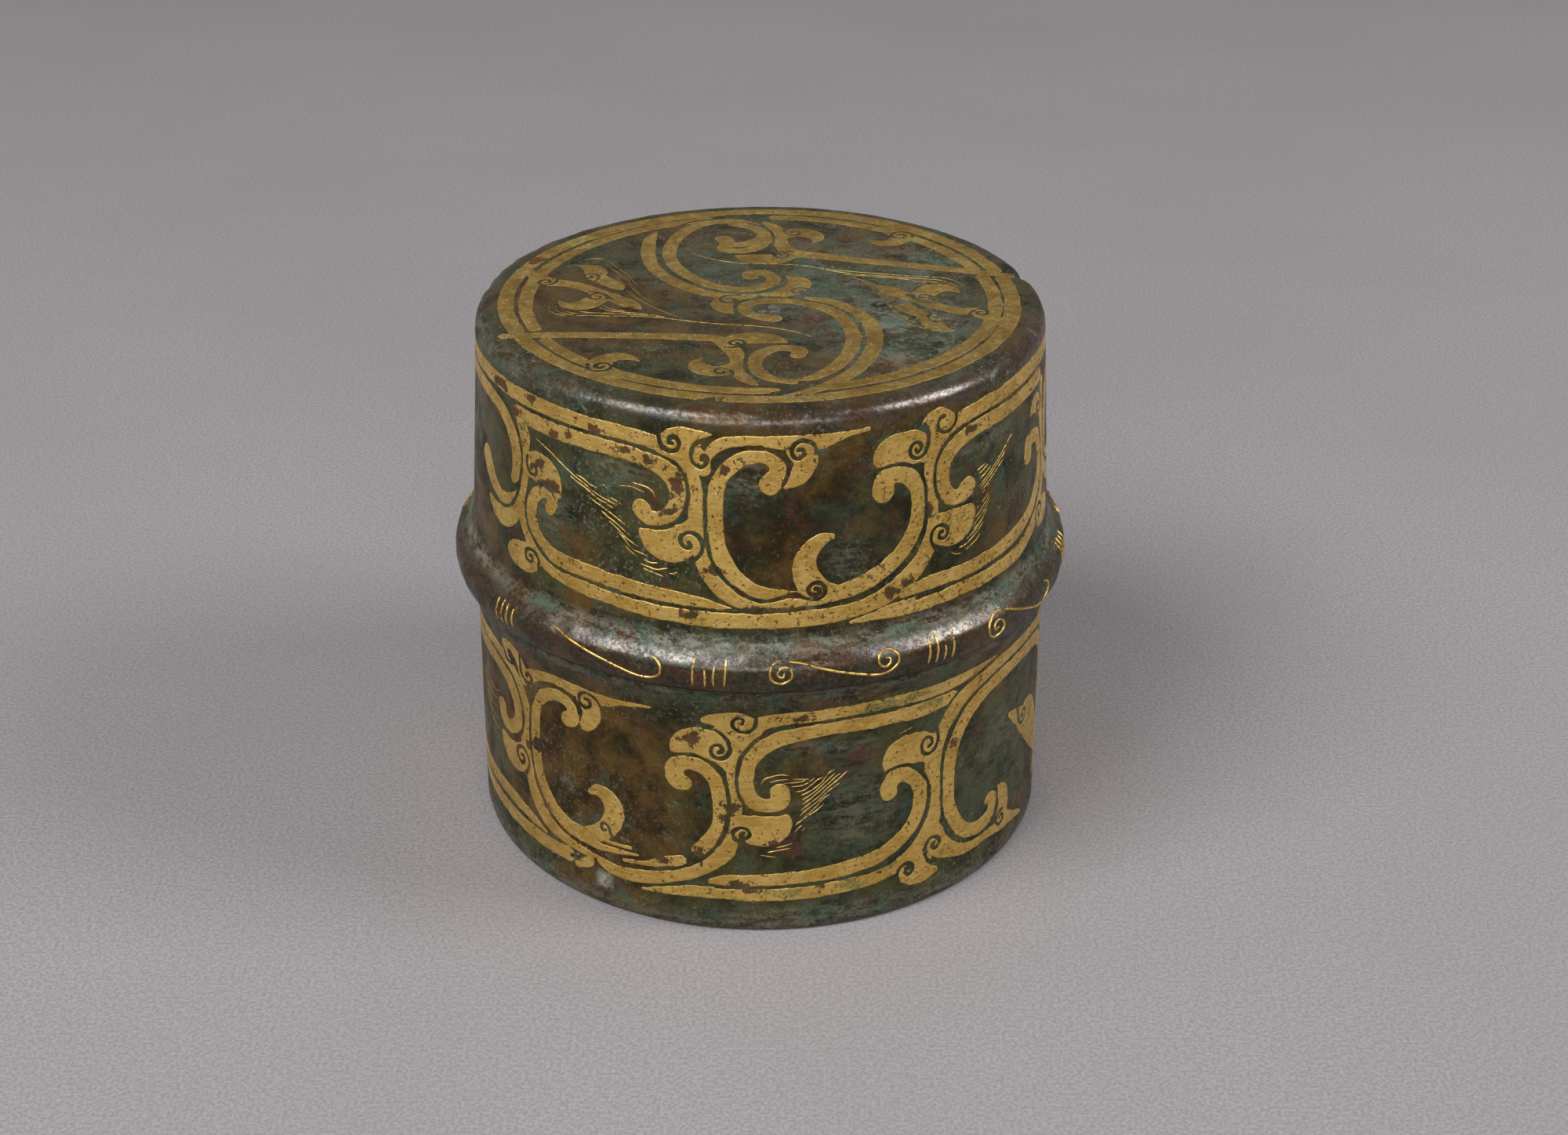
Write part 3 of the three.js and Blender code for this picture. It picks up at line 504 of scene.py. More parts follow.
BODY_GOLD = strokes("""
-37 21.6 1.3,-32 21.7 1.35,-29.5 21.4 1.4,-27.6 20.6 1.5,-26.3 19.4,-25.4 18 1.4,-25.1 16.3 .95,-25.3 14.6 1,
-25.4 13.2 1.4,-25 11.8 1.2,-24.8 10.2,-24.2 8.7 1.55,-23 7.2,-21.5 6.15 1.3,-19.5 5.55 .9,-17.2 5.25 .6,
-16 5.2 .3
-15.5 5 .9,-14 4.6 1.4,-12 4.6 1.5,-10 4.9 1.4,-8 5.5,-6 6.4 1.5,-4.5 7.5 1.7,-3.2 8.9 1.9,-2.6 10.5 1.2,
-2.3 12 .9,-2.15 13.5,-2.4 15 .8,-2.5 16.5,-2.3 18.2 1.3,-1.9 19.6 1.6,-1 21.2 1.9,0 22.3 1.4,2 22.85 1.2,
5 22.95,8 23 1.3,12 23,16 22.95,20 23 1.1,24.5 23.35 .2
-37 20 1.2,-31 20,-29 19.5 1.3,-27.6 18.6 1.4,-26.6 17.2 1.5,-26.5 15.7 1.4,-27.2 14.6 1.3,-28.4 14,
-29.6 14.4 1.5,-29.9 15.4 1.6
-30 12.4 .4,-29.2 11.7 1.8,-28.2 11.2 2.6,-27.2 11.2 2.9,-26.4 11.6 2.6,-25.6 12.6 1.6
-19.2 18.9 1.3,-18.45 19.3 1.5,-18.5 20.35 1.2,-19.5 20.95,-20.8 20.95 1.3,-22.2 20.3 1.35,-23.3 19,
-23.75 17.4 1.4,-23.85 15.6,-23.75 13.6,-23.5 12,-22.9 10.3 1.45,-21.9 8.9,-20.6 7.8 1.5,-18.9 7.2,-17 7.2 1.4,
-15.5 8 1.6,-14.6 8.8 1.7
-16.6 12.1 .4,-15.8 12.5 1,-14.7 12.2 1.5,-14 11.2 1.9,-14.05 10 2,-14.6 9 1.8,-15.6 8.1 1.5,-17 7.5 1.2
-18 6.5 .5,-15 6.5 .6,-11.5 6.75 .15
-15.2 7.3 .25,-12.3 7.35 .2
-13 5.85 .2,-10.5 6.2 .5,-8.6 6.9 .9,-7 7.3
-5.6 8.6 1.2,-4.6 9.7 1.35,-3.9 11 1.3,-3.55 12.5,-3.55 14 1.35,-3.75 15.4 1.4,-4.4 16.8 1.45,-5.5 17.7 1.4,
-6.8 17.8,-7.8 17 1.6,-7.6 15.9 1.7,-7 15.6 1.4
-8 18.9 .2,-7.4 19.5 1.5,-6.5 19.9 2.5,-5.4 20.1 2.9,-4.3 19.8,-3.4 19 2,-2.8 17.8 1
-5 22.5 .5,-4.1 22.6 1.1,-3 22.6 1.7,-2 22.5 2.1,-1.2 22.2 1.8,-.7 21.6 1.6
-3.7 21.75 .6,-2.7 21.2 1.5,-2.1 20.2 1.3
19 21.4 1,16 21.25 1.4,12 21.4,10 21.45,6 21.45,3.5 21.15,1.5 20.6,0 19.6,-1.05 18.2,-1.35 16.6,-1.1 15 1.35,
-.4 14 1.3,.7 13.65,1.8 14.1 1.5,1.75 15.1 1.6
-2.3 12.2 .8,-1.4 11.7 1.8,-.4 11.1 3,.7 11,1.6 11.4 2.4,2.2 12.1 1.2,2.4 12.6 .3
-4.5 5.3 .5,-3 5.55 1,0 5.65 1.2,4 5.8 1.3,8 6.2 1.4
-11 3.25 .15,-9 3.6 .6,-6.5 4 1,-4 4.1 1.2,0 4.05 1.25,4 4.1,8 4.35,10.5 4.5 1.2,12.5 4.9 1.1
-24.6 21 1.6,-23.2 21.9 1,-21.5 22.4 .9,-20 22.6,-18 22.45 1.2,-16 22.4,-14.5 22.4 1,-13 22.7 .55,
-11.5 22.95 .3,-10 23.05 .15
-16.8 21.9 2,-16.2 20.8,-16.4 19.8 1.7,-16.9 19.1 1.2,-17.3 18.7 .4
-28.6 21.8 .9,-28.2 23 1,-27.2 23.3 1.1,-26.3 22.9 1.3,-25.7 21.9 1.4,-25.2 20.8 1.6
34.1 23.35 .2,38.6 23 1.1,42.6 22.95 1.3,46 22.6,49.4 21.6
39.6 21.4 1,42.6 21.25 1.4,46 20.7 1.3,49.4 20 1.2
50.6 6.2 1.4,55.4 6.3 1.3,59.4 6.1 1.2,61.9 5.6 .8,63.9 5.1 .2
46.1 4.9 1.1,49.6 4.4 1.25,56.4 4.2 1.3,60.4 4.1,64.4 4.05 1.4,66.9 4.1
-18.3 3.5 .6,-17 4.2 .9,-16.6 4.9 .4
39.3 5.6 1.4,37.6 6.9 1.5,35.8 8.4 1.7,34 10.2 2,32.6 11.9 2.4,31.2 13.3 2.2,29.8 14.3 1.4,28.2 15.3 .3
31.6 12.6 2.2,32.6 13.2 2.8,33.8 12.8,35.2 11.4 2.6,36.6 9.8 2.2,38 8.2 1.8
19.6 8 1.4,20.7 6.4,22.3 5.45,24 5.4,25.2 6 1.5,25.55 7,25.1 7.7 1.1,24.5 7.6 .6
18.7 5 1.8,20.2 4.2 1.3,22.3 3.7 .9,24.5 3.7 .8,27 3.5 1.1,29 3.2 .9,30.6 2.8 .6,32 2.25 .2
26.5 8.05 .5,27 7.6 1.2,27.5 6.8 1.6,27.6 5.8 1.8,27.4 4.8 1.9,28 4 1.3,29.5 3.3 .8
""") + CAP_HALF + mirrored(CAP_HALF, MIRROR)

BODY_GROOVES = strokes("""
-26.2 9.7,-25.3 10.5,-24.95 11.6,-25.4 12.5,-26.2 12.8,-26.9 12.3,-26.95 11.5,-26.4 11,-25.8 11.3,-25.9 11.9,
-26.3 11.9
-14.2 7.7,-14.4 8.3,-14.6 8.9,-15.1 9.2,-15.4 8.8,-15.3 8.4,-14.95 8.5
-5 21.75,-3.8 21.4,-2.9 20.4,-2.75 19.3,-3.3 18.6,-4 18.6,-4.4 19.1,-4.2 19.8,-3.6 19.9,-3.35 19.4,-3.7 19.2
-.35 23,-.5 22,-1 21.5,-1.8 21.5,-2.4 22,-2.35 22.7,-1.9 23,-1.5 22.8,-1.6 22.3
15 22.15,10 22.25,6 22.2,3 21.9,1 21.4,-.5 20.4,-1.6 18.9,-2.05 17.2,-2.1 15.8,-1.7 14.3,-.9 13.3,.2 12.85,
1.5 12.9,2.4 13.2
-.4 9.2,-1.5 9.6,-2.3 10.2,-2.4 10.9,-1.9 11.35,-1.2 11.2,-.95 10.6,-1.4 10.2,-1.8 10.5,-1.5 10.8
17.2 19,18.5 20.6,20 21.7,22 22.4,24.5 22.9
-15.1 21.6,-15.6 22.3,-16.6 22.65,-17.4 22.2,-17.5 21.4,-16.9 20.95,-16.3 21.3,-16.3 21.8,-16.8 21.9
-28.8 22.2,-28.5 21.5,-27.8 21.2,-27.1 21.5,-26.9 22.1,-27.3 22.6,-27.8 22.5,-27.9 22.1
-25.6 22.9,-25.75 21.9,-25.6 20.9,-25 20.4,-24.3 20.5,-24 21.1,-24.4 21.5,-24.8 21.2
-8.2 18.3,-7 18.6,-5.5 18.55,-4.2 17.8,-3.2 16.3,-2.85 14.5,-2.85 12.7,-3.2 10.9,-4 9.2,-5.3 7.7,-7 6.6,-9 5.9,
-11.5 5.45,-13.5 5.2,-15.5 5.5,-18 5.95,-19.5 6.3,-21 7,-22.4 8.2,-23.5 9.8,-24.2 11.5,-24.5 13.5,-24.55 16,
-24.25 18.2,-23.5 20,-22.2 21.2,-20.5 21.75,-19 21.6,-18 21,-17.6 20
-32 21,-29.5 20.6,-27.5 19.9,-26.3 18.5,-25.7 16.8,-25.8 15,-26.6 13.7,-28 13,-30 12.9
5 5,0 4.85,-4 4.75
43.6 22.15,47 21.5,51 20.9
18.8 7,20 5.5,22 4.6,24 4.4,25.5 5,26.2 6.2,26.3 7.4,26.2 8.3
27.5 5.15,26.9 5.05,26.5 4.75,26.3 4.3,26.7 3.75,27.4 3.8,27.6 4.35,27.2 4.65,26.95 4.35
29.9 15.4,30.2 14.4,30.6 13.3,31.3 12.7,32.1 12.8,32.4 13.5,31.9 14,31.4 13.8,31.4 13.4,31.7 13.3
""") + CAP_GROOVES + mirrored(CAP_GROOVES, MIRROR)

BODY_HAIRS = strokes("""
.06 16.06 .2,.44 16.56,1.22 16.86 .18,1.89 16.97 .17,2.56 16.86 .14
.89 16.22 .15,1.67 16.41 .16,2.56 16.48 .14
3 16.44 .14,3.78 16.39 .15,4.4 16.3 .13
2.1 16.08 .15,2.9 16.08,3.8 16.17 .14,4.3 16.44 .13
2.8 15.67 .15,3.67 15.72 .16,4.2 15.9 .15,4.9 16.4 .13
3.2 15.1 .16,3.9 15.2,4.6 15.7 .15,5.2 16.2 .14,5.7 16.4 .13
3.7 14.7 .15,4.2 14.9 .16,5 15.4 .15,5.7 16.05,6.2 16.8 .14,6.7 17.05 .13
3.8 14.2 .15,4.6 14.7 .16,5.3 15.3 .15,6.1 16.05,6.8 16.7 .13
3.8 13.7 .15,4.6 14.3 .16,5.4 15 .15,6.2 15.7,7 16.4 .14,7.3 16.55 .13
3.7 13.1 .15,4.4 13.7 .16,5.3 14.4,6.1 15.2,7 15.9 .15,7.7 16.5 .14,7.95 16.7 .12
3.55 12.5 .15,4.3 13.2 .16,5.2 13.9 .15,6.1 14.8,7.2 15.55 .13
4 12.35 .14,5 13.3 .15,5.8 14.2,6.3 14.5 .13
3.2 11.6 .18,3.8 12.05,4.3 12.45 .16,5.1 12.95 .15,5.8 13.6 .13
3.1 10.8 .15,3.55 11.3,3.8 11.5 .13
3.8 10.9 .12,4.1 11.2
0 8.45 .28,.67 8.3 .3,1.4 8.2 .28
.67 8.7 .18,1.1 8.8 .16,1.9 8.95 .15,2.8 9.1 .13
1.5 9.2 .17,1.9 9.3 .15,2.3 9.4 .14,2.9 9.6 .12
13 19.4 .14,14.4 19.7
-33.5 16.4,-32 16.2,-30.6 16.6
-34.5 15.6,-33 15.2,-31.4 15.4
-35 14.6,-33.4 14.2,-31.6 14.4
-34.6 13.6,-33 13.2,-31.2 13.2
-33.8 12.6,-32.2 12.2,-30.8 12.2
""")

# The top. One motif is drawn and turned half round.
OUTER_BORDER, INNER_BORDER = 23.42, 21.68
TOP_BORDER = [
    arc(OUTER_BORDER, 17, 201, 1.5),
    arc(OUTER_BORDER, -82, 11.5, 1.5),
    arc(OUTER_BORDER, 206, 276, 1.45),
    arc(INNER_BORDER, 104, 201, 1.35),
    arc(INNER_BORDER, 20, 86, 1.3),
    arc(INNER_BORDER, -73, 13.5, 1.4),
    arc(INNER_BORDER, 209, 273, 1.35),
]
TOP_S = strokes("""
-10.3 17.6 .3,-10.8 15.6 1.2,-10.9 13 1.45,-10.8 10.8,-10 7.2,-8.6 4.6,-6.6 2.2,-4.6 .8,-2.5 .2 1.5,-.4 .3 1.6,
1.2 .8 2,2.6 1.6 2.4,3.5 2.6,3.8 3.6 2.2,3.3 4.6 1.5,2.4 5.3 .3
-3.6 15.5 1.7,-2.9 14 1.4,-1.2 14.2 1.35,.05 15.5,.25 17.2,-.3 19,-1.8 20.3,-4.2 20.6,-6.4 19.2 1.4,-8 16.5,
-8.8 13,-8.6 9.8,-7.6 6.8,-5.6 4,-3.6 2.4,-1.6 2 1.35,.2 2.7,1.2 4,1.1 5.4,.1 6.4 1.4,-.9 6.1 1.5,-.9 5.4 1.6
4.4 -.2 .7,6 -.9 1.5,7.8 -2.5 1.6,9.2 -4.8 1.7,10 -7.4 1.75,10.1 -10.2 1.7,9.5 -14 1.6,8 -17.6 1.5,
5.9 -20.3 1.3,3.5 -22.1 1,1.6 -22.9 .3
1.2 -5.2 1.7,.1 -4.9 1.4,-1.1 -4 1.2,-1.5 -2.7,-.9 -1.4 1.25,.8 -.8 1.35,3 -.9 1.4,5.1 -2,6.9 -4,8 -7,
8.3 -10.4,7.6 -14,6.2 -16.9 1.35,4.4 -18.8 1,3 -19.3 .4
-2.4 -4.1 .3,-3.1 -3.2 1.5,-3.5 -2.2 2,-3.4 -1.2 2.2,-2.8 -.4 1.8,-1.8 .1 1.4
""")
TOP_MOTIF = strokes("""
-3.2 -10.9 1.5,-2.6 -12.3 1.7,-2.1 -13.8 1.5,-1.9 -15.6 1.4,-1.8 -17.4 1.5,-1.3 -19 1.3,-.4 -20.2 .6
-2.9 -10.6 1.4,-1.9 -10.1 2.2,-.7 -9.9 2.5,.5 -10 2.2,1.5 -10.3 1.5,2.3 -10.9 .4
3.3 -13.8 1.4,3.5 -12.7 1.5,2.1 -12.1 1.35,.5 -12.9,-.4 -14.6,-.4 -16.7,.7 -18.7 1.3,2.8 -19.7 1
-5.2 -14.5 .3,-5.6 -15.5 1.2,-5.3 -16.5 1.9,-4.5 -17.2 2.2,-3.5 -17.3,-2.6 -16.6 1.7,-2.1 -15.8 1.2
-10.6 -15.2 .3,-11.2 -14.5 .9,-12.4 -14.2 1.5,-13.6 -14.9 2,-14 -16.2 2.3,-13.4 -17.3 2.1,-12.2 -18.2 1.6
-21.6 6.2 1.3,-20.9 4.9 1.8,-20.1 3.9 2.2,-19.2 3.6 1.8,-18.2 3.4 1.5,-17 2.8 1.6,-15.8 1.8,-14.6 .8,
-13.4 -.4 1.7,-12.3 -1.6 1.8,-11.5 -2.4 1.2,-11 -2.9 .4
-17.5 8.2 .3,-16.6 7.9 1.1,-15.9 7.2 1.9,-15.6 6.3 2.2,-15.6 5.4 2,-14.9 4.4 1.7,-14.1 3.5,-13.4 2.6 1.5,
-13 1.9 .5
-18.5 -1.2 .3,-18 -2 1,-17.1 -2.4 1.7,-16.2 -2.1 2.2,-15.5 -1.3 2.3,-15 -.3 2,-15.2 .7 1.4
""")
TOP_BARS = strokes("""
-22.8 -9.5 1.1,-18 -9.3 1.3,-12 -9.4 1.4,-6 -9.7,-4 -10 1.5,-3.3 -10.8
23.6 5.5 1,21 6.3 1.2,17 7.4 1.3,13 8.6 1.4,9 9.7,5.5 10.8 1.6,3.7 11.4 1.7,3 12 1.5
""")
TOP_GOLD = TOP_BORDER + TOP_S + TOP_BARS + TOP_MOTIF + half_turned(TOP_MOTIF)

TOP_MOTIF_GROOVES = strokes("""
-3.2 -11.9,-2.3 -12,-1.5 -11.5,-1.4 -10.8,-1.9 -10.3,-2.5 -10.5,-2.7 -11.1,-2.3 -11.5,-1.9 -11.2,-2.1 -10.9
2.6 -11.4,1.6 -11.2,.4 -11.5,-.6 -12.6,-1.15 -14,-1.3 -15.8,-1 -17.6,-.2 -19.1,1.2 -20.1
-2.5 -18.6,-2.4 -17.6,-2.8 -16.8,-3.5 -16.6,-3.9 -17.1,-3.7 -17.7,-3.2 -17.7,-3.1 -17.3
-15 -15.9,-14.9 -16.9,-14.2 -17.4,-13.3 -17.2,-12.9 -16.4,-13.4 -15.7,-14.1 -15.8,-14.3 -16.4,-13.9 -16.8,
-13.6 -16.4
-19.6 5.4,-18.2 4.7,-16.8 3.8,-15.6 2.8,-14.6 1.9,-13.6 1
-15.9 1.4,-15 .9,-14.3 .2,-13.7 -.7
-19.3 5.3,-19.1 4.4,-19.4 3.5,-20 3,-20.6 3.2,-20.8 3.8,-20.4 4.3,-19.9 4.2,-19.8 3.7,-20.2 3.6
-15.6 3.9,-15.3 4.7,-15.4 5.6,-15.9 6,-16.5 5.8,-16.7 5.2,-16.3 4.8,-15.9 5,-16 5.4
-14.2 -.6,-14.3 .3,-14.9 .8,-15.6 .6,-15.9 -.1,-15.5 -.6,-14.9 -.5,-14.8 0,-15.2 .1
""")
TOP_GROOVES = TOP_MOTIF_GROOVES + half_turned(TOP_MOTIF_GROOVES) + strokes("""
-9.7 18.2,-9.9 15.4,-9.85 12.8,-9.65 10,-8.8 7,-7.2 4.4,-5.2 2.4,-3 1.3,-1 1,.8 1.5,2.1 2.8,2.4 4.4,2 5.8
-4.3 21.5,-6.9 20.5,-8.6 18.5,-9.7 16
4.6 1,4.5 2,3.7 2.4,3 1.9,3.2 1.2,3.8 1.2,3.9 1.7
-2 .6,-3.3 .3,-3.7 -.6,-3.2 -1.3,-2.5 -1.2,-2.2 -.7,-2.6 -.4
4.2 -.6,2.2 -.05,.3 0,-1.3 -.7,-2.2 -2,-2.2 -3.6
3.9 -.7,5.7 -1.5,7.5 -3.2,8.7 -5.6,9.2 -8,9.3 -10.4,8.7 -13.8,7.3 -17.1,5.4 -19.4,3.4 -20.9,1 -22
1.4 -13.4,.8 -13.8
""")

TOP_HAIRS = strokes("""
-14.6 9.5,-13.8 7.8,-13.2 6.7,-12.5 5.5,-12 4,-11.5 2.5
-14.8 8.5,-14 7,-13.3 6,-12.7 4.8,-12.2 3.5,-11.7 2,-11.2 .5
-13.8 6.7,-13.3 5.3,-12.7 4.2,-12.2 2.7,-11.5 1,-10.8 -.3,-10 -1.3
-13.7 5.2,-13 3.8,-12.5 2.8
-12.5 1.7,-12 .3,-11.3 -.7,-10.5 -1.7,-9.5 -3,-8.5 -4,-7.6 -4.9
-12.2 1.3,-11.7 .2,-10.8 -1.3
-17 9.6,-16 10.1,-15 9.9
-19.3 -2.2,-19.4 -2.8,-19.2 -3.7,-18.5 -4.4,-17.7 -4.8
-18.75 -2.3,-18.7 -3.3,-18 -4.2,-17 -4.6
-17.9 -3.5,-17.3 -4,-16.7 -4.3
-16.5 -3.7,-15.5 -4,-14.3 -4.1,-13 -4.2,-11.7 -4.4,-10 -4.75
-16.7 -4.75,-15.3 -4.7,-13.8 -4.8,-12 -4.8,-10.3 -5,-8.7 -5.25,-7.3 -5.7,-6.3 -6,-5 -6.3,-3.1 -6.7,-1.5 -6.9,
-.4 -7.1,1.4 -7.6,3.4 -8.6,4.6 -9.6
-14.8 -2.8,-13.8 -3.5,-12.7 -3.8,-11.3 -4.1,-10 -4.5,-8.7 -5
-14.5 -2.3,-13.5 -3.2,-12.3 -3.6
-7.1 12.8,-6.4 11.4,-5 10.2,-3.4 9.3,-1.8 8.8,.2 8.7,2.2 8.5,3.8 8.2,5.4 7.6,7 7,8.6 6.6,10.2 6.2,12 5.8,
14 5.4,16 5.1,17.4 4.8,18.4 4,19 2.8,19.2 1.6
5.8 7.2,7.6 6.4,9.4 5.8,11.4 5.4,13.4 5,15.4 4.6,17 4.2,18 3.2
8 5.8,10 5.4,12.2 4.9,14 4.4,15.6 3.6
14.2 3.6,15.4 4,16.8 3.6
17.8 3.6,18.4 2.8,18.6 2
8.6 5.2,10 4,11 2.8,11.6 1.6,12 .4,12.6 -.8
9.4 4.4,10.4 3,11.2 1.6,11.8 0,12.4 -1.6,12.6 -2.4
10 3.2,10.8 1.6,11.4 0,12 -1.8,12.8 -3.2,13.2 -3.8
10.8 1.2,11.4 -.6,12 -2.6,12.8 -4.4,13.6 -5.2
11.6 -1.6,12.2 -3.4,12.8 -4.8,13.6 -6,14.2 -6.4
12.2 -4,12.8 -5.6,13.8 -7,14.6 -7.6,15.6 -7.5
""")

# The mouth ring: the front's wires, and the scrolls and bars that repeat round the rest.
RING_FRONT = strokes("""
-26.4 29.1,-26.3 28.6,-26.35 27.9,-26.15 27.2
-25.6 29.2,-25.5 28.6,-25.55 28,-25.3 27.2
-24.9 29.1,-24.75 28.5,-24.8 27.9,-24.55 27.3
-24 29,-23.95 28.4,-23.9 27.9,-23.75 27.4
-19.3 29.35,-17 28.85,-14 28.15,-11.5 27.5,-10 27.2,-9 27.3,-8.35 27.8,-8.3 28.4,-8.7 28.95,-9.3 29.15
-5.5 29.4,-5.55 28.3,-5.55 27.1
-4.6 28.6,-4.5 27.8,-4.55 27
-3.75 28.95,-3.85 28,-3.8 27.1
-2.85 29.4,-2.85 28.3,-2.95 27.1
14.9 29.35,14.8 28.3,14.6 27.2
15.6 29.6,15.65 28.6,15.4 27
16.45 28.4,16.4 27.8,16.25 27.05
17.35 29.5,17.3 28.4,17.1 27
30.9 28.7,31.5 28.4,31.6 27.7,30.9 27.1,29.4 27,27.5 27.65,25.5 28.45,23.8 29.05,22.5 29.2,21.7 28.8,
21.35 28.2,21.5 27.5,22.1 27.1,22.8 27.2,23.3 27.7,23.2 28.3,22.7 28.6,22.2 28.4,22.05 28,22.3 27.75,
22.6 27.95
""")
RING_SCROLL = strokes("""
1.75 29.4,1.2 29.25,.85 28.8,.8 28.2,1.1 27.7,1.7 27.5,2.3 27.75,2.6 28.2,2.5 28.7,2.05 28.95,1.6 28.8,
1.4 28.4,1.65 28.1,1.95 28.2,1.95 28.5
2.4 29.3,3.5 29.15,4.8 28.75,6.5 28.2,8.5 27.65,10.1 27.3,11.1 27.55,11.7 28.1,11.8 28.7,11.4 29.15,10.8 29.3,
10.2 29.1,9.95 28.6,10.2 28.1,10.7 28,11.05 28.35,10.95 28.7,10.6 28.75
""")
RING_BARS = strokes("""
15.2 29.4,15.2 27.1
16 29.45,16.05 27
16.85 29.3,16.8 27.1
17.7 29.4,17.65 27.05
""")

LID_DRAWING = Drawing(
    gold=LID_GOLD,
    grooves=LID_GROOVES,
    hairs=LID_HAIRS,
    swell=0.1,
    losses=[],
    rust=[
        (-7.4, 44.6, 0.7, 1.1), (-4, 37.3, 0.9, 0.5), (0.8, 33.7, 2.6, 0.4), (-6, 32.9, 1.2, 0.5),
        (11.8, 34, 1, 0.6), (15.8, 40.9, 0.5, 0.7), (20.8, 47.1, 0.9, 0.4), (-20.8, 41.9, 1.5, 0.6),
        (-22, 43.5, 0.9, 0.6), (-26, 47.2, 1.1, 0.6), (-18.5, 47.2, 0.6, 0.4), (-7.9, 42.4, 0.6, 0.4),
        (13.4, 34.6, 1, 0.4), (-3.2, 46.6, 0.5, 0.5), (-29, 48.9, 2, 0.45), (-23.7, 49.2, 0.8, 0.5),
        (-20.2, 46.9, 0.8, 0.5), (-15.6, 48.6, 0.9, 0.4), (-12.4, 47.4, 0.8, 0.4), (-10.2, 46.9, 0.6, 0.5),
    ],
    moss=[(-0.5, 46.4, 1.3, 0.8), (28, 33.4, 1.4, 0.5), (-24.6, 46.2, 0.6, 0.5)],
)
BODY_DRAWING = Drawing(
    gold=BODY_GOLD,
    grooves=BODY_GROOVES,
    hairs=BODY_HAIRS,
    swell=0.1,
    losses=[(-6.3, 7.7, 0.55), (-18.7, 4.1, 0.5), (-23.6, 14.2, 0.6)],
    rust=[
        (-23.4, 14.2, 1.3, 0.8), (-2.6, 13.4, 0.8, 0.8), (-6, 8.2, 1, 0.8), (-6, 20.3, 1, 0.9),
        (1.6, 9.4, 1.4, 0.8), (-3.4, 12.4, 0.5, 0.7), (-2, 5.2, 1, 0.5), (5.6, 4.8, 0.6, 0.5),
        (19.2, 16.4, 0.6, 0.6), (-9, 6.9, 0.9, 0.5), (3.6, 22.8, 0.9, 0.4), (-0.8, 4.5, 1.2, 0.4),
        (-24.8, 13.6, 0.6, 0.5),
    ],
    moss=[
        (12, 22.8, 4, 0.8), (16.5, 21.6, 2.4, 0.6), (-18.5, 4.2, 1, 0.6), (8.5, 4.3, 2, 0.7),
        (2.5, 4.2, 2.2, 0.6), (14, 23, 3, 0.5), (12.2, 5.6, 1, 0.6),
    ],
)
TOP_DRAWING = Drawing(
    gold=TOP_GOLD,
    grooves=TOP_GROOVES,
    hairs=TOP_HAIRS,
    swell=0.0,
    losses=[(-4.2, -23.5, 0.5)],
    rust=[(-4, -23.2, 1.2, 0.7), (3.6, -22.4, 1, 0.5), (-21.5, 9.5, 1.2, 1.4), (-12, -2.8, 0.6, 0.5)],
    moss=[(-1, 0.6, 2.4, 0.8), (15, 15.4, 2, 1.4), (-18.4, 15, 2, 2), (4, 11.6, 1.2, 1)],
)


@dataclass
class InlayField:
    """Distance to the edge of the gold on a flat grid, negative inside the gold.

    The last column of a closed grid falls on its first. The reach is the largest distance that counts,
    the groove half the width of the lines cut into the gold.
    """

    low: Point
    high: Point
    closed: bool
    pitch: float = 0.11
    groove: float = 0.14
    reach: float = 1.0
    spacing: float = 0.1
    least_width: float = 0.05

    def __post_init__(self) -> None:
        """Lays out the grid."""
        across, up = self.high[0] - self.low[0], self.high[1] - self.low[1]
        self.columns = round(across / self.pitch) + 1
        self.rows = round(up / self.pitch) + 1
        self.step = across / (self.columns - 1)
        self.up = self.low[1] + self.pitch * np.arange(self.rows)

    def distance(self, drawn: list[Array], width: float | None = None) -> Array:
        """Distance to the edge of a set of strokes.

        Args:
            drawn: Strokes as rows of knots.
            width: Width for strokes that have none of their own.

        Returns:
            One distance for each grid point, rows first.
        """
        field = np.full((self.rows, self.columns), self.reach)
        for knots in drawn:
            if width is not None:
                knots = np.column_stack([knots, np.full(len(knots), width)])
            for x, y, wide in spline(knots, self.spacing):
                self.stamp(field, x, y, max(wide, self.least_width) / 2)
        return field

    def stamp(self, field: Array, x: float, y: float, radius: float) -> None:
        """Lowers a field to the distance from one disc.

        Args:
            field: Distances so far, changed in place.
            x: Where the disc lies across the grid.
            y: How high it lies.
            radius: Its radius.
        """
        reach = radius + self.reach
        left = int((x - reach - self.low[0]) // self.step)
        right = int((x + reach - self.low[0]) // self.step) + 2
        bottom = max(0, int((y - reach - self.low[1]) // self.pitch))
        top = min(self.rows, int((y + reach - self.low[1]) // self.pitch) + 2)
        columns = np.arange(left, right)
        if self.closed:
            inside = columns % (self.columns - 1)
        else:
            columns = columns[(columns >= 0) & (columns < self.columns)]
            inside = columns
        if bottom >= top or not len(columns):
            return
        dx = self.low[0] + self.step * columns - x
        dy = self.up[bottom:top] - y
        found = np.hypot(dx[None, :], dy[:, None]) - radius
        window = np.ix_(np.arange(bottom, top), inside)
        field[window] = np.minimum(field[window], found)

    def gold(self, drawing: Drawing) -> Array:
        """Field of the gold of a drawing, cut by its grooves.

        Args:
            drawing: The drawing.

        Returns:
            Distance to the gold's edge, negative inside.
        """
        bands = self.distance(drawing.gold) - drawing.swell
        lines = self.distance(drawing.grooves, 0.0)
        field = np.maximum(bands, self.groove - lines)
        if self.closed:
            field[:, -1] = field[:, 0]
        return field


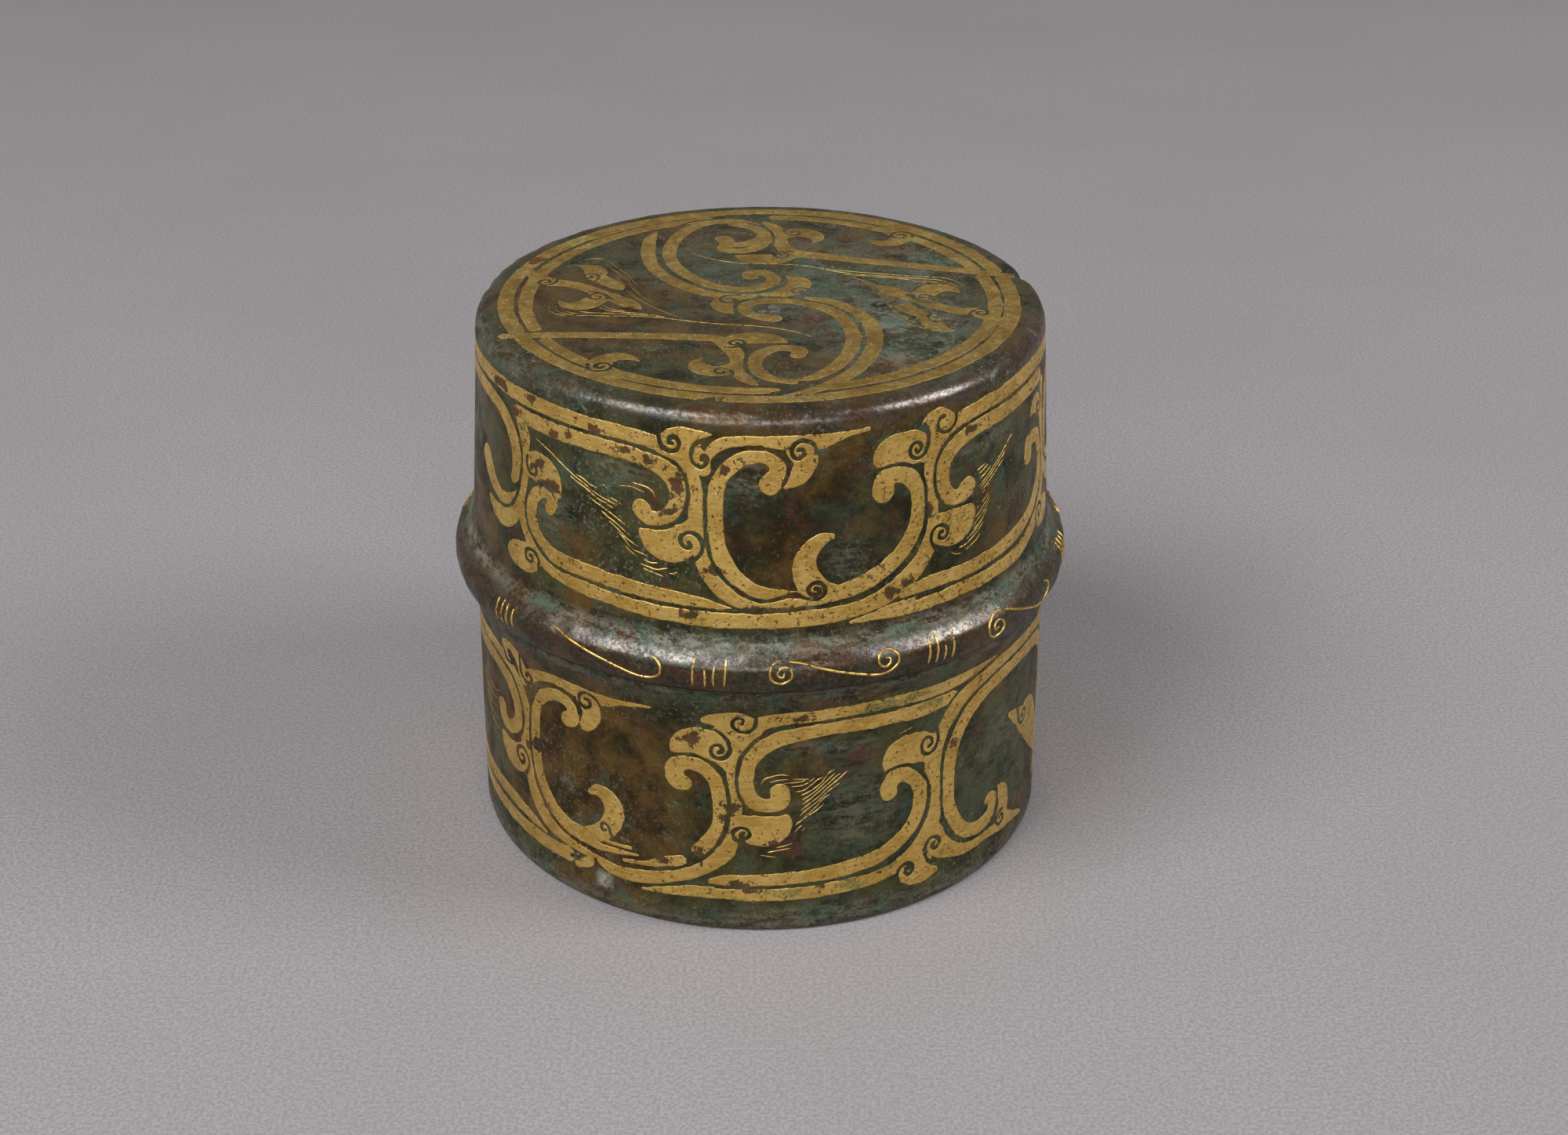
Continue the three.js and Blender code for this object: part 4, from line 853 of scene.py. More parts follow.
def contour(field: Array) -> tuple[Array, Array, Array]:
    """Triangles of the part of a grid where a field is below zero.

    Args:
        field: Values at the grid points.

    Returns:
        Points as column and row numbers, triangles, and the field at the points.
    """
    rows, columns = field.shape
    values = field.ravel()
    col, row = np.meshgrid(np.arange(columns - 1), np.arange(rows - 1))
    a, b = row * columns + col, row * columns + col + 1
    c, d = b + columns, a + columns
    cells = np.concatenate([np.stack(corners, -1).reshape(-1, 3) for corners in ((a, b, c), (a, c, d))])
    inside = values[cells] < 0
    count = inside.sum(1)
    cut = []
    for wanted, lone_inside in ((1, True), (2, False)):
        lone = np.argmax(inside[count == wanted] == lone_inside, axis=1)
        turn = (lone[:, None] + np.arange(3)) % 3
        cut.append(np.take_along_axis(cells[count == wanted], turn, 1).T)
    (tip, tip_b, tip_c), (gap, gap_b, gap_c) = cut
    pairs = np.concatenate([np.stack(pair, 1) for pair in ((tip, tip_b), (gap, gap_b), (tip, tip_c), (gap, gap_c))])
    keys, where = np.unique(np.sort(pairs, 1), axis=0, return_inverse=True)
    sizes = np.cumsum([len(tip), len(gap), len(tip)])
    tip_ab, gap_ab, tip_ac, gap_ac = np.split(where.ravel() + len(values), sizes)
    corners = ((tip, tip_ab, tip_ac), (gap_ab, gap_b, gap_c), (gap_ab, gap_c, gap_ac))
    triangles = np.concatenate([cells[count == 3], *(np.stack(three, 1) for three in corners)])
    start, end = values[keys].T
    share = start / (start - end)
    place = np.stack([np.arange(len(values)) % columns, np.arange(len(values)) // columns], 1).astype(float)
    first, second = place[keys[:, 0]], place[keys[:, 1]]
    points = np.concatenate([place, first + (second - first) * share[:, None]])
    depth = np.concatenate([values, np.zeros(len(keys))])
    used, triangles = np.unique(triangles, return_inverse=True)
    return points[used], triangles.reshape(-1, 3), depth[used]


def linked(name: str, data: bpy.types.ID) -> bpy.types.Object:
    """A new object in the scene.

    Args:
        name: Name of the object.
        data: Its mesh, curve, light or camera.

    Returns:
        The object.
    """
    made = bpy.data.objects.new(name, data)
    bpy.context.scene.collection.objects.link(made)
    return made


def make_mesh(name: str, points: Array, faces: Array, marks: Marks | None = None) -> bpy.types.Object:
    """A smooth-shaded mesh object at the origin.

    Args:
        name: Name of the piece.
        points: Vertices in millimetres.
        faces: Triangles or four-sided faces as rows of vertex numbers.
        marks: Values to keep for each vertex.

    Returns:
        The new object, linked to the scene.
    """
    mesh = bpy.data.meshes.new(name)
    sides = faces.shape[1]
    mesh.vertices.add(len(points))
    mesh.vertices.foreach_set("co", (points * MM).astype(np.float32).ravel())
    mesh.loops.add(faces.size)
    mesh.loops.foreach_set("vertex_index", faces.astype(np.int32).ravel())
    mesh.polygons.add(len(faces))
    mesh.polygons.foreach_set("loop_start", np.arange(0, faces.size, sides, dtype=np.int32))
    mesh.update(calc_edges=True)
    mesh.validate()
    mesh.polygons.foreach_set("use_smooth", np.ones(len(mesh.polygons), bool))
    for mark, values in (marks or {}).items():
        keep_mark(mesh, mark, values)
    return linked(name, mesh)


def keep_mark(mesh: bpy.types.Mesh, mark: Mark, values: Array) -> None:
    """Keeps one value for each vertex of a mesh."""
    layer = mesh.attributes.new(mark.value, "FLOAT", "POINT")
    layer.data.foreach_set("value", values.astype(np.float32))


@dataclass(frozen=True)
class Grain:
    """One noise of a finish.

    The scale is in features per millimetre. Away shifts the noise in millimetres, and stretch multiplies
    its coordinates.
    """

    scale: float
    detail: float = 6.0
    rough: float = 0.6
    twist: float = 0.0
    away: Place | None = None
    stretch: Place | None = None


class Nodes:
    """Short way to write a shader or geometry node tree."""

    def __init__(self, tree: bpy.types.NodeTree) -> None:
        """Keeps the tree to write in."""
        self.tree = tree

    def add(self, kind: str, inputs: dict | None = None, **settings: str | bpy.types.ID) -> bpy.types.Node:
        """Adds a node.

        Args:
            kind: Blender's name for the node type.
            inputs: Values or sockets for the node's inputs, by name or number.
            settings: Properties to set on the node.

        Returns:
            The new node.
        """
        node = self.tree.nodes.new(kind)
        for key, value in settings.items():
            setattr(node, key, value)
        for key, value in (inputs or {}).items():
            if isinstance(value, Socket):
                self.tree.links.new(value, node.inputs[key])
            else:
                node.inputs[key].default_value = value
        return node

    def place(self) -> Socket:
        """The object's own coordinates in millimetres."""
        metres = self.add("ShaderNodeTexCoord").outputs["Object"]
        return self.add("ShaderNodeVectorMath", {0: metres, 3: 1.0 / MM}, operation="SCALE").outputs[0]

    def noise(self, place: Socket, grain: Grain) -> Socket:
        """Value of a noise texture.

        Args:
            place: Coordinates in millimetres.
            grain: The noise.

        Returns:
            The value.
        """
        for how, vector in (("ADD", grain.away), ("MULTIPLY", grain.stretch)):
            if vector:
                place = self.add("ShaderNodeVectorMath", {0: place, 1: vector}, operation=how).outputs[0]
        return self.add("ShaderNodeTexNoise", {
            "Vector": place, "Scale": grain.scale, "Detail": grain.detail,
            "Roughness": grain.rough, "Distortion": grain.twist,
        }).outputs["Fac"]

    def ramp(self, value: Socket, low: float, high: float, start: float = 0.0, end: float = 1.0) -> Socket:
        """Value mapped smoothly from low and high to start and end."""
        inputs = {"Value": value, "From Min": low, "From Max": high, "To Min": start, "To Max": end}
        return self.add("ShaderNodeMapRange", inputs, interpolation_type="SMOOTHSTEP").outputs["Result"]

    def math(self, how: str, first: Socket | float, *others: Socket | float) -> Socket:
        """Result of one operation on two values, or on more in turn.

        Args:
            how: Blender's name for the operation.
            first: The first value.
            others: The values to join to it.

        Returns:
            The result.
        """
        for value in others:
            first = self.add("ShaderNodeMath", {0: first, 1: value}, operation=how).outputs[0]
        return first

    def product(self, *values: Socket | float) -> Socket:
        """Product of two or more values."""
        return self.math("MULTIPLY", *values)

    def total(self, *values: Socket | float) -> Socket:
        """Sum of two or more values."""
        return self.math("ADD", *values)

    def most(self, *values: Socket | float) -> Socket:
        """Largest of two or more values."""
        return self.math("MAXIMUM", *values)

    def raised(self, value: Socket, factor: float, base: Socket) -> Socket:
        """A base with a share of a value on top of it."""
        return self.add("ShaderNodeMath", {0: value, 1: factor, 2: base}, operation="MULTIPLY_ADD").outputs[0]

    def mix(self, share: Socket, first: Socket | Colour, second: Socket | Colour) -> Socket:
        """Colour between two colours, by the share of the second."""
        sides = [value if isinstance(value, Socket) else (*value, 1.0) for value in (first, second)]
        return self.add("ShaderNodeMix", {0: share, 6: sides[0], 7: sides[1]}, data_type="RGBA").outputs[2]

    def blend(self, share: Socket, first: Socket | float, second: Socket | float) -> Socket:
        """Number between two numbers."""
        return self.add("ShaderNodeMix", {0: share, 2: first, 3: second}, data_type="FLOAT").outputs[0]


def node_group(name: str, kind: str, sockets: list[tuple[str, str, str]]) -> Nodes:
    """A node group that has only its sockets.

    Args:
        name: Name of the group.
        kind: Blender's name for the tree type.
        sockets: Name, direction and value type of each socket.

    Returns:
        The writer of the group.
    """
    tree = bpy.data.node_groups.new(name, kind)
    for key, way, value in sockets:
        tree.interface.new_socket(key, in_out=way, socket_type="NodeSocket" + value)
    return Nodes(tree)


def blank_material(name: str) -> tuple[bpy.types.Material, Nodes]:
    """A material with an empty node tree.

    Args:
        name: Name of the material.

    Returns:
        The material and the writer of its tree.
    """
    material = bpy.data.materials.new(name)
    material.use_nodes = True
    material.node_tree.nodes.clear()
    return material, Nodes(material.node_tree)


@dataclass(frozen=True)
class Finish:
    """What the metal finishes share: a node group that reads vertex values, and the shader behind it.

    The bump is the height of the finest relief in millimetres.
    """

    name: str
    bump: float
    bump_strength: float = 0.8
    specular: float = 0.14
    coat_roughness: float = 0.14
    coat_ior: float = 1.9

    def empty_group(self, name: str, inputs: tuple[str, ...], outputs: tuple[str, ...]) -> Nodes:
        """A shader node group that has only its sockets.

        Args:
            name: Name of the group.
            inputs: Names of its number inputs, beside the place.
            outputs: Names of its number outputs, beside the colour.

        Returns:
            The writer of the group.
        """
        taken, made = ([(key, way, "Float") for key in keys] for way, keys in (("INPUT", inputs), ("OUTPUT", outputs)))
        sockets = [("place", "INPUT", "Vector"), *taken, ("Base Color", "OUTPUT", "Color"), *made]
        return node_group(name, "ShaderNodeTree", sockets)

    def dress(
        self, group: bpy.types.NodeTree, marks: tuple[Mark, ...], values: dict[str, float]
    ) -> bpy.types.Material:
        """A material that takes its looks from a group.

        Args:
            group: The shader node group.
            marks: Vertex values that the group reads.
            values: Constant inputs of the group.

        Returns:
            The material.
        """
        material, n = blank_material(self.name)
        inputs = {"place": n.place(), **values}
        for mark in marks:
            source = n.add("ShaderNodeAttribute", attribute_name=mark.value, attribute_type="GEOMETRY")
            inputs[mark.value] = source.outputs["Fac"]
        made = dict(n.add("ShaderNodeGroup", inputs, node_tree=group).outputs.items())
        lift = n.add("ShaderNodeBump", {
            "Strength": self.bump_strength, "Distance": self.bump * MM, "Height": made.pop("Height"),
        }).outputs["Normal"]
        if "Coat Weight" in made:
            made["Coat Normal"] = lift
        shader = n.add("ShaderNodeBsdfPrincipled", {
            **made, "Normal": lift, "Specular IOR Level": self.specular,
            "Coat Roughness": self.coat_roughness, "Coat IOR": self.coat_ior,
        })
        n.add("ShaderNodeOutputMaterial", {"Surface": shader.outputs["BSDF"]})
        return material


@dataclass(frozen=True)
class Bronze(Finish):
    """Old bronze: dark olive and brown skin, grey-green crust, teal and red corrosion, rubbed metal, and painted shade
    where the vertex values call for it.
    """

    name: str = "patinated_bronze"
    bump: float = 0.09
    olive: Colour = (0.078, 0.074, 0.026)
    umber: Colour = (0.138, 0.076, 0.018)
    dark_olive: Colour = (0.015, 0.016, 0.006)
    dark_umber: Colour = (0.026, 0.016, 0.004)
    red_oxide: Colour = (0.105, 0.034, 0.022)
    teal_skin: Colour = (0.06, 0.092, 0.064)
    grey_crust: Colour = (0.17, 0.185, 0.12)
    pale_fleck: Colour = (0.23, 0.225, 0.16)
    grey_dust: Colour = (0.31, 0.31, 0.25)
    green_dust: Colour = (0.15, 0.235, 0.17)
    grey_metal: Colour = (0.085, 0.07, 0.062)
    brown_metal: Colour = (0.085, 0.042, 0.018)
    white_chalk: Colour = (0.4, 0.39, 0.31)
    black_pore: Colour = (0.012, 0.011, 0.006)
    cloud: Grain = Grain(0.085, 5, 0.6, 0.5)
    region: Grain = Grain(0.08, 4, 0.55, 0.4, away=(40, 9, 71))
    mottle: Grain = Grain(0.3, 12, 0.66, 0.25, away=(13, 57, 22))
    crust: Grain = Grain(0.42, 13, 0.74, 0.5, away=(71, 33, 8))
    teal: Grain = Grain(0.26, 12, 0.7, 0.7, away=(5, 81, 47))
    red: Grain = Grain(0.3, 12, 0.7, 0.6, away=(31, 17, 5))
    speck: Grain = Grain(2.8, 8, 0.72)
    pore: Grain = Grain(8.0, 4, 0.65)
    layer: Grain = Grain(0.8, 12, 0.74, 0.4, stretch=(0.5, 0.5, 1.8))

    def group(self) -> bpy.types.NodeTree:
        """The node group that makes the bronze's colour, gloss and height."""
        n = self.empty_group(
            "patina", tuple(mark.value for mark in BRONZE_MARKS), ("Roughness", "Metallic", "Coat Weight", "Height"),
        )
        given = n.add("NodeGroupInput").outputs
        place, dust, wear, dark = (given[key] for key in ("place", "dust", "wear", "dark"))
        cloud, region, mottle, crust = (
            n.noise(place, grain) for grain in (self.cloud, self.region, self.mottle, self.crust)
        )
        teal, red, speck, pore, layer = (
            n.noise(place, grain) for grain in (self.teal, self.red, self.speck, self.pore, self.layer)
        )
        brown = n.ramp(n.total(cloud, given["brown"]), 0.44, 0.6)
        black = n.mix(brown, self.dark_olive, self.dark_umber)
        # Darker skin by the mottle and by the dark vertex value, which also holds painted shade; where it is high
        # there is less teal and crust.
        darkened = n.ramp(n.raised(dark, 0.16, mottle), 0.38, 0.66, 0.0, 0.95)
        skin = n.mix(darkened, n.mix(brown, self.olive, self.umber), black)
        rusty = n.ramp(n.raised(given["red"], 0.2, red), 0.54, 0.68, 0.0, 0.7)
        skin = n.mix(rusty, skin, self.red_oxide)
        blue = n.ramp(n.raised(dust, 0.06, teal), 0.52, 0.68, 0.0, 0.8)
        blue = n.product(blue, n.ramp(dark, 0.0, 1.0, 1.0, 0.25))
        skin = n.mix(blue, skin, self.teal_skin)
        clean = n.ramp(dark, 0.0, 1.0, 1.0, 0.3)
        crusted = n.product(n.ramp(crust, 0.54, 0.63), n.ramp(region, 0.44, 0.6, 0.1, 1.0))
        crusted = n.product(crusted, n.ramp(speck, 0.42, 0.56, 0.2, 1.0), clean)
        skin = n.mix(n.product(crusted, 0.6), skin, self.grey_crust)
        fleck = n.product(n.ramp(speck, 0.56, 0.62), n.ramp(region, 0.4, 0.58, 0.15, 0.75), clean)
        skin = n.mix(fleck, skin, self.pale_fleck)
        dusty = n.product(dust, n.ramp(n.raised(speck, 0.4, layer), 0.62, 0.76))
        skin = n.mix(dusty, skin, n.mix(n.ramp(teal, 0.48, 0.58), self.grey_dust, self.green_dust))
        worn = n.product(wear, n.ramp(mottle, 0.62, 0.44, 0.3, 1.0))
        skin = n.mix(worn, skin, n.mix(n.ramp(red, 0.44, 0.56), self.grey_metal, self.brown_metal))
        skin = n.mix(n.product(given["chalk"], n.ramp(speck, 0.36, 0.5)), skin, self.white_chalk)
        skin = n.mix(n.ramp(pore, 0.48, 0.64, 0.0, 0.5), skin, self.black_pore)
        dull = n.most(crusted, blue, dusty)
        bare = n.math("SUBTRACT", 1.0, dull)
        rough = n.blend(dull, n.ramp(mottle, 0.36, 0.64, 0.32, 0.48), 0.62)
        shine = n.most(n.product(bare, 0.03), n.product(wear, n.ramp(speck, 0.42, 0.54, 0.15, 1.0)))
        depths = ((mottle, 0.45), (speck, 0.3), (dull, 0.3), (pore, 0.06))
        n.add("NodeGroupOutput", {
            "Base Color": skin, "Roughness": n.blend(worn, rough, 0.24),
            "Metallic": n.product(bare, n.blend(worn, 0.3, 0.75)), "Coat Weight": shine,
            "Height": n.total(*(n.product(height, depth) for height, depth in depths)),
        })
        return n.tree

    def make(self) -> bpy.types.Material:
        """The material."""
        return self.dress(self.group(), BRONZE_MARKS, {})


@dataclass(frozen=True)
class Gold(Finish):
    """Hammered gold sheet: warm changes of colour, dark pits, red and green corrosion, and edges darkened partly by
    dirt and partly by painted shade.

    The loss makes more pits or fewer, and dull is how far the gold is tarnished, from 0 to 1.
    """

    bump: float = 0.05
    loss: float = 0.0
    dull: float = 0.0
    light: Colour = (1.0, 0.67, 0.18)
    deep: Colour = (0.76, 0.465, 0.1)
    pale_streak: Colour = (1.0, 0.79, 0.32)
    brown_streak: Colour = (0.48, 0.28, 0.06)
    scratched: Colour = (0.45, 0.26, 0.06)
    tarnish: Colour = (0.46, 0.32, 0.1)
    dark_moss: Colour = (0.10, 0.12, 0.035)
    pale_moss: Colour = (0.3, 0.25, 0.08)
    # Soil colours of the rust and pits, also painted along the sheets' edges as shade.
    red_soil: Colour = (0.075, 0.025, 0.02)
    brown_soil: Colour = (0.032, 0.022, 0.012)
    cloud: Grain = Grain(0.3, 4, 0.6, 0.4)
    patch: Grain = Grain(0.9, 10, 0.75, 0.3)
    speck: Grain = Grain(1.9, 9, 0.74, 0.2)
    streak: Grain = Grain(1.6, 7, 0.68, 0.3, stretch=(0.45, 0.45, 2.6))
    dent: Grain = Grain(1.3, 3, 0.5)
    scratch: Grain = Grain(7.0, 4, 0.65)
    prick: Grain = Grain(2.9, 7, 0.64, 0.3)

    def group(self) -> bpy.types.NodeTree:
        """The node group that makes the gold's colour, gloss and height, shared by all the golds."""
        n = self.empty_group(
            "old_gold", (*(mark.value for mark in GOLD_MARKS), "loss", "dull"), ("Roughness", "Metallic", "Height"),
        )
        given = n.add("NodeGroupInput").outputs
        place, rust, tarnished = given["place"], given["rust"], given["dull"]
        grains = (self.cloud, self.patch, self.speck, self.streak, self.dent, self.scratch, self.prick)
        cloud, patches, speck, streak, dent, scratch, prick = (n.noise(place, grain) for grain in grains)
        colour = n.mix(n.ramp(cloud, 0.38, 0.62), self.light, self.deep)
        colour = n.mix(n.ramp(streak, 0.5, 0.62, 0.0, 0.55), colour, self.pale_streak)
        colour = n.mix(n.ramp(streak, 0.5, 0.34, 0.0, 0.35), colour, self.brown_streak)
        colour = n.mix(n.ramp(scratch, 0.5, 0.36, 0.0, 0.25), colour, self.scratched)
        colour = n.mix(n.product(tarnished, n.ramp(patches, 0.36, 0.62, 0.5, 1.0)), colour, self.tarnish)
        risk = n.total(patches, given["loss"])
        rusty = n.ramp(n.raised(rust, 0.3, n.raised(speck, 0.6, risk)), 0.93, 0.98)
        mossy = n.ramp(n.raised(given["moss"], 0.32, patches), 0.58, 0.74, 0.0, 0.85)
        colour = n.mix(mossy, colour, n.mix(n.ramp(speck, 0.42, 0.56), self.dark_moss, self.pale_moss))
        pits = n.product(n.ramp(n.raised(rust, 0.06, speck), 0.57, 0.6), n.ramp(risk, 0.43, 0.53))
        pricks = n.product(n.ramp(prick, 0.59, 0.61), n.ramp(risk, 0.43, 0.53))
        # Painted shade: the gold darkens within 0.08 mm of its edge, partly grime and partly the shade of the channel
        # it lies in.
        rim = n.product(n.ramp(given["rim"], 0.0, 0.08, 0.85, 0.0), n.ramp(speck, 0.34, 0.56, 0.15, 1.0))
        dirt_and_edge_shade = n.most(rusty, pits, pricks, rim)
        soil_and_edge_shade = n.mix(n.ramp(cloud, 0.42, 0.58), self.red_soil, self.brown_soil)
        foul = n.most(dirt_and_edge_shade, mossy)
        rough = n.blend(foul, n.ramp(patches, 0.38, 0.6, 0.26, 0.44), 0.62)
        height = n.math("SUBTRACT", n.product(dent, 0.7), n.product(dirt_and_edge_shade, 0.8))
        n.add("NodeGroupOutput", {
            "Base Color": n.mix(n.product(dirt_and_edge_shade, 0.94), colour, soil_and_edge_shade), "Roughness": n.raised(tarnished, 0.2, rough),
            "Metallic": n.blend(foul, 1.0, 0.25), "Height": n.total(height, n.product(n.total(scratch, streak), 0.22)),
        })
        return n.tree

    def make(self, group: bpy.types.NodeTree) -> bpy.types.Material:
        """The material, with the shared group."""
        return self.dress(group, GOLD_MARKS, {"loss": self.loss, "dull": self.dull})


@dataclass(frozen=True)
class Zone:
    """A soft-edged spot where a casting has more or less of a vertex value."""

    mark: Mark
    at: Point
    half: Point
    amount: float


def zoned(zones: tuple[Zone, ...], mark: Mark, across: Array, up: Array) -> Array:
    """Sum of the zones of one kind.

    Args:
        zones: The zones of a face.
        mark: Which vertex value to sum.
        across: Distances along the face.
        up: Heights on the face.

    Returns:
        The amount at each point.
    """
    total = np.zeros(len(across))
    for zone in zones:
        if zone.mark is mark:
            total += zone.amount * Spot(zone.at, zone.half)(across, up)
    return total


@dataclass
class Casting:
    """A body of revolution with hand-made unevenness and corrosion.

    The section's rows are as far apart as the methods say, fine ones on the outside.
    """

    name: str
    body: Body
    node: str
    zones: tuple[Zone, ...] = ()
    around: int = 480
    fine_row: float = 0.36
    inside_rough: float = 0.15
    brown_drift: float = 0.05
    least_length: float = 1e-9

    def profile(self) -> list[Point]:
        """Corner points of the section as radius and height, from the axis round to the axis."""
        raise NotImplementedError

    def row_length(self, start: Point, end: Point) -> float:
        """Distance between the rows on a stretch of the section."""
        raise NotImplementedError

    def decay(self, points: Array) -> tuple[Array, Marks]:
        """Wear and corrosion of the surface.

        Args:
            points: Rows of coordinates in millimetres.

        Returns:
            Displacement outward, and the vertex values that the finish reads.
        """
        raise NotImplementedError

    def rows(self) -> Array:
        """Section points close enough together for the relief."""
        corners = np.array(self.profile())
        rows = [corners[:1]]
        for start, end in zip(corners[:-1], corners[1:]):
            count = max(1, round(math.dist(start, end) / self.row_length(start, end)))
            rows.append(start + (end - start) * (np.arange(1, count + 1) / count)[:, None])
        return np.concatenate(rows)

    def faces(self, count: int) -> Array:
        """Triangles of the closed skin.

        Args:
            count: Number of rows round the axis. The two points on the axis come after them.

        Returns:
            Rows of vertex numbers.
        """
        around = np.arange(self.around)
        after = (around + 1) % self.around
        row = np.arange(count - 1)[:, None] * self.around
        above = row + self.around
        quads = np.stack([row + around, row + after, above + after, above + around], -1).reshape(-1, 4)
        last = (count - 1) * self.around
        first_pole, last_pole = (np.full(self.around, count * self.around + pole) for pole in (0, 1))
        first_fan = np.stack([first_pole, after, around], 1)
        last_fan = np.stack([last_pole, last + around, last + after], 1)
        return np.concatenate([quads[:, [0, 1, 2]], quads[:, [0, 2, 3]], first_fan, last_fan])

    def build(self, material: bpy.types.Material) -> bpy.types.Object:
        """Makes the piece, puts it on its body and lets it stand for its node.

        Args:
            material: The bronze.

        Returns:
            The piece.
        """
        section = self.rows()
        angle = np.arange(self.around) * (2 * math.pi / self.around)
        radius, height = section[1:-1].T
        skin = on_cylinder(radius[:, None], angle, height[:, None]).reshape(-1, 3)
        points = np.concatenate([skin, [[0, 0, section[0, 1]], [0, 0, section[-1, 1]]]])
        tangent = np.gradient(section, axis=0)[1:-1]
        normal = np.stack([tangent[:, 1], -tangent[:, 0]], 1)
        normal /= np.linalg.norm(normal, axis=1)[:, None] + self.least_length
        out = on_cylinder(normal[:, :1], angle, normal[:, 1:]).reshape(-1, 3)
        push, marks = self.decay(points)
        points[:-2] += out * push[:-2, None]
        piece = make_mesh(self.name, points, self.faces(len(radius)), marks)
        piece.data.materials.append(material)
        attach(piece, self.body.value)
        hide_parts(self.node)
        return piece


@dataclass
class LidCasting(Casting):
    """The lid: flat top, rounded shoulder, tapering wall and proud mouth ring.

    Ramps and bumps run over heights, those named for a radius or an angle over that, and those named for
    a side over the sine or cosine of the angle. A stretch of the section with less than the flat rise is flat.
    """

    name: str = "lid_casting"
    body: Body = Body.LID
    node: str = "box_lid"
    zones: tuple[Zone, ...] = (
        Zone(Mark.BROWN, (5, 41), (7, 6), 0.16),
        Zone(Mark.BROWN, (-16, 42), (9, 8), -0.16),
        Zone(Mark.RED, (4, 40), (6, 5), 0.25),
        Zone(Mark.RED, (11, 41), (4, 5), 0.35),
        Zone(Mark.RED, (-17, 37.5), (3, 2), 0.3),
        Zone(Mark.DARK, (4, 40.5), (8, 6.5), 0.85),
        Zone(Mark.DUST, (-20.5, 40), (2.5, 3), 0.35),
        Zone(Mark.DUST, (-13, 45.2), (3.5, 1.6), 0.3),
        Zone(Mark.DUST, (-1, 45.8), (2.2, 1.8), 0.45),
        Zone(Mark.DUST, (7.5, 38), (2, 2), 0.25),
        Zone(Mark.DUST, (23, 45.5), (5, 1.4), 0.3),
    )
    top_zones: tuple[Zone, ...] = (
        Zone(Mark.BROWN, (-10, -13), (9, 6), 0.1),
        Zone(Mark.BROWN, (10, 4), (14, 14), -0.05),
        Zone(Mark.BROWN, (2, -4), (5, 8), 0.06),
        Zone(Mark.RED, (5, -6.5), (2.6, 4.5), 0.9),
        Zone(Mark.RED, (-4, -7), (5, 2), 0.35),
        Zone(Mark.DUST, (13, -10), (6, 9), 0.6),
        # This broad wash is partly dust and partly painted sheen, lightening the top as if it caught the backdrop's
        # reflection.
        Zone(Mark.DUST, (6, 6), (16, 14), 0.3),
        Zone(Mark.DUST, (0.5, -3.2), (1.4, 1), 0.8),
        Zone(Mark.DUST, (17, 9.5), (3, 3), 0.4),
    )
    ring: tuple[Point, ...] = (
        (28.95, 26.34), (29.22, 26.75), (29.36, 27.5), (29.34, 28.2), (29.16, 28.8),
        (28.72, 29.3), (28.15, 29.9), (27.72, 30.7), (27.45, 31.5),
    )
    inner_corner: float = 1.2
    seam: float = 0.04
    inside_row: float = 2.0
    top_row: float = 0.7
    flat_rise: float = 0.05
    inside_radius: float = 25.9
    outside_radius: float = 25.95
    outside_height: float = 50.3
    top_face: Ramp = Ramp(51.3, 51.6)
    wall_foot: Ramp = Ramp(31.0, 32.0)
    shoulder: Bump = Bump(51.0, 0.9)
    shoulder_radius: Bump = Bump(25.9, 1.0)
    ring_radius: Ramp = Ramp(27.4, 28.2)
    flank: Bump = Bump(30.4, 0.8)
    flank_radius: Ramp = Ramp(27.2, 27.6)
    edge: Bump = Bump(29.3, 0.4)
    crest: Ramp = Ramp(29.0, 28.6)
    foot: Bump = Bump(31.3, 0.4)
    left_side: Ramp = Ramp(0.5, 0.9)
    rear_side: Ramp = Ramp(0.2, 0.8)
    left_ring: Ramp = Ramp(0.0, -0.3)
    rubbed_right: Ramp = Ramp(-0.3, 0.4)
    rubbed_front: Ramp = Ramp(-0.3, 0.7)
    notch_angle: Bump = Bump(1.83, 0.05)
    notch_radius: Ramp = Ramp(23.8, 25.4)
    notch_height: Ramp = Ramp(48.9, 51.2)
    notch_depth: float = 0.45

    def profile(self) -> list[Point]:
        """The section from under the lid's ceiling, down to the mouth, over the ring and up to the top."""
        s = SIZES
        bend = [math.radians(a) for a in range(0, 91, 15)]
        centre = s.total_height - s.shoulder
        corner = self.inner_corner
        shoulder = [(s.top_face_radius + s.shoulder * math.cos(a), centre + s.shoulder * math.sin(a)) for a in bend]
        inner = [
            (s.inside_top_radius - corner * (1 - math.cos(a)), s.ceiling - corner * (1 - math.sin(a))) for a in bend
        ]
        return [
            (0.0, s.ceiling), *reversed(inner),
            (s.mouth_radius, s.mouth_top), (s.mouth_radius, s.parting + self.seam),
            *self.ring, *shoulder, (0.0, s.total_height),
        ]

    def row_length(self, start: Point, end: Point) -> float:
        """Long rows inside, middling ones on the flat top, fine ones elsewhere.

        Args:
            start: First corner of the stretch.
            end: Its last corner.

        Returns:
            The distance in millimetres.
        """
        if max(start[0], end[0]) < self.inside_radius and min(start[1], end[1]) <= SIZES.ceiling:
            return self.inside_row
        return self.fine_row if abs(start[1] - end[1]) > self.flat_rise else self.top_row

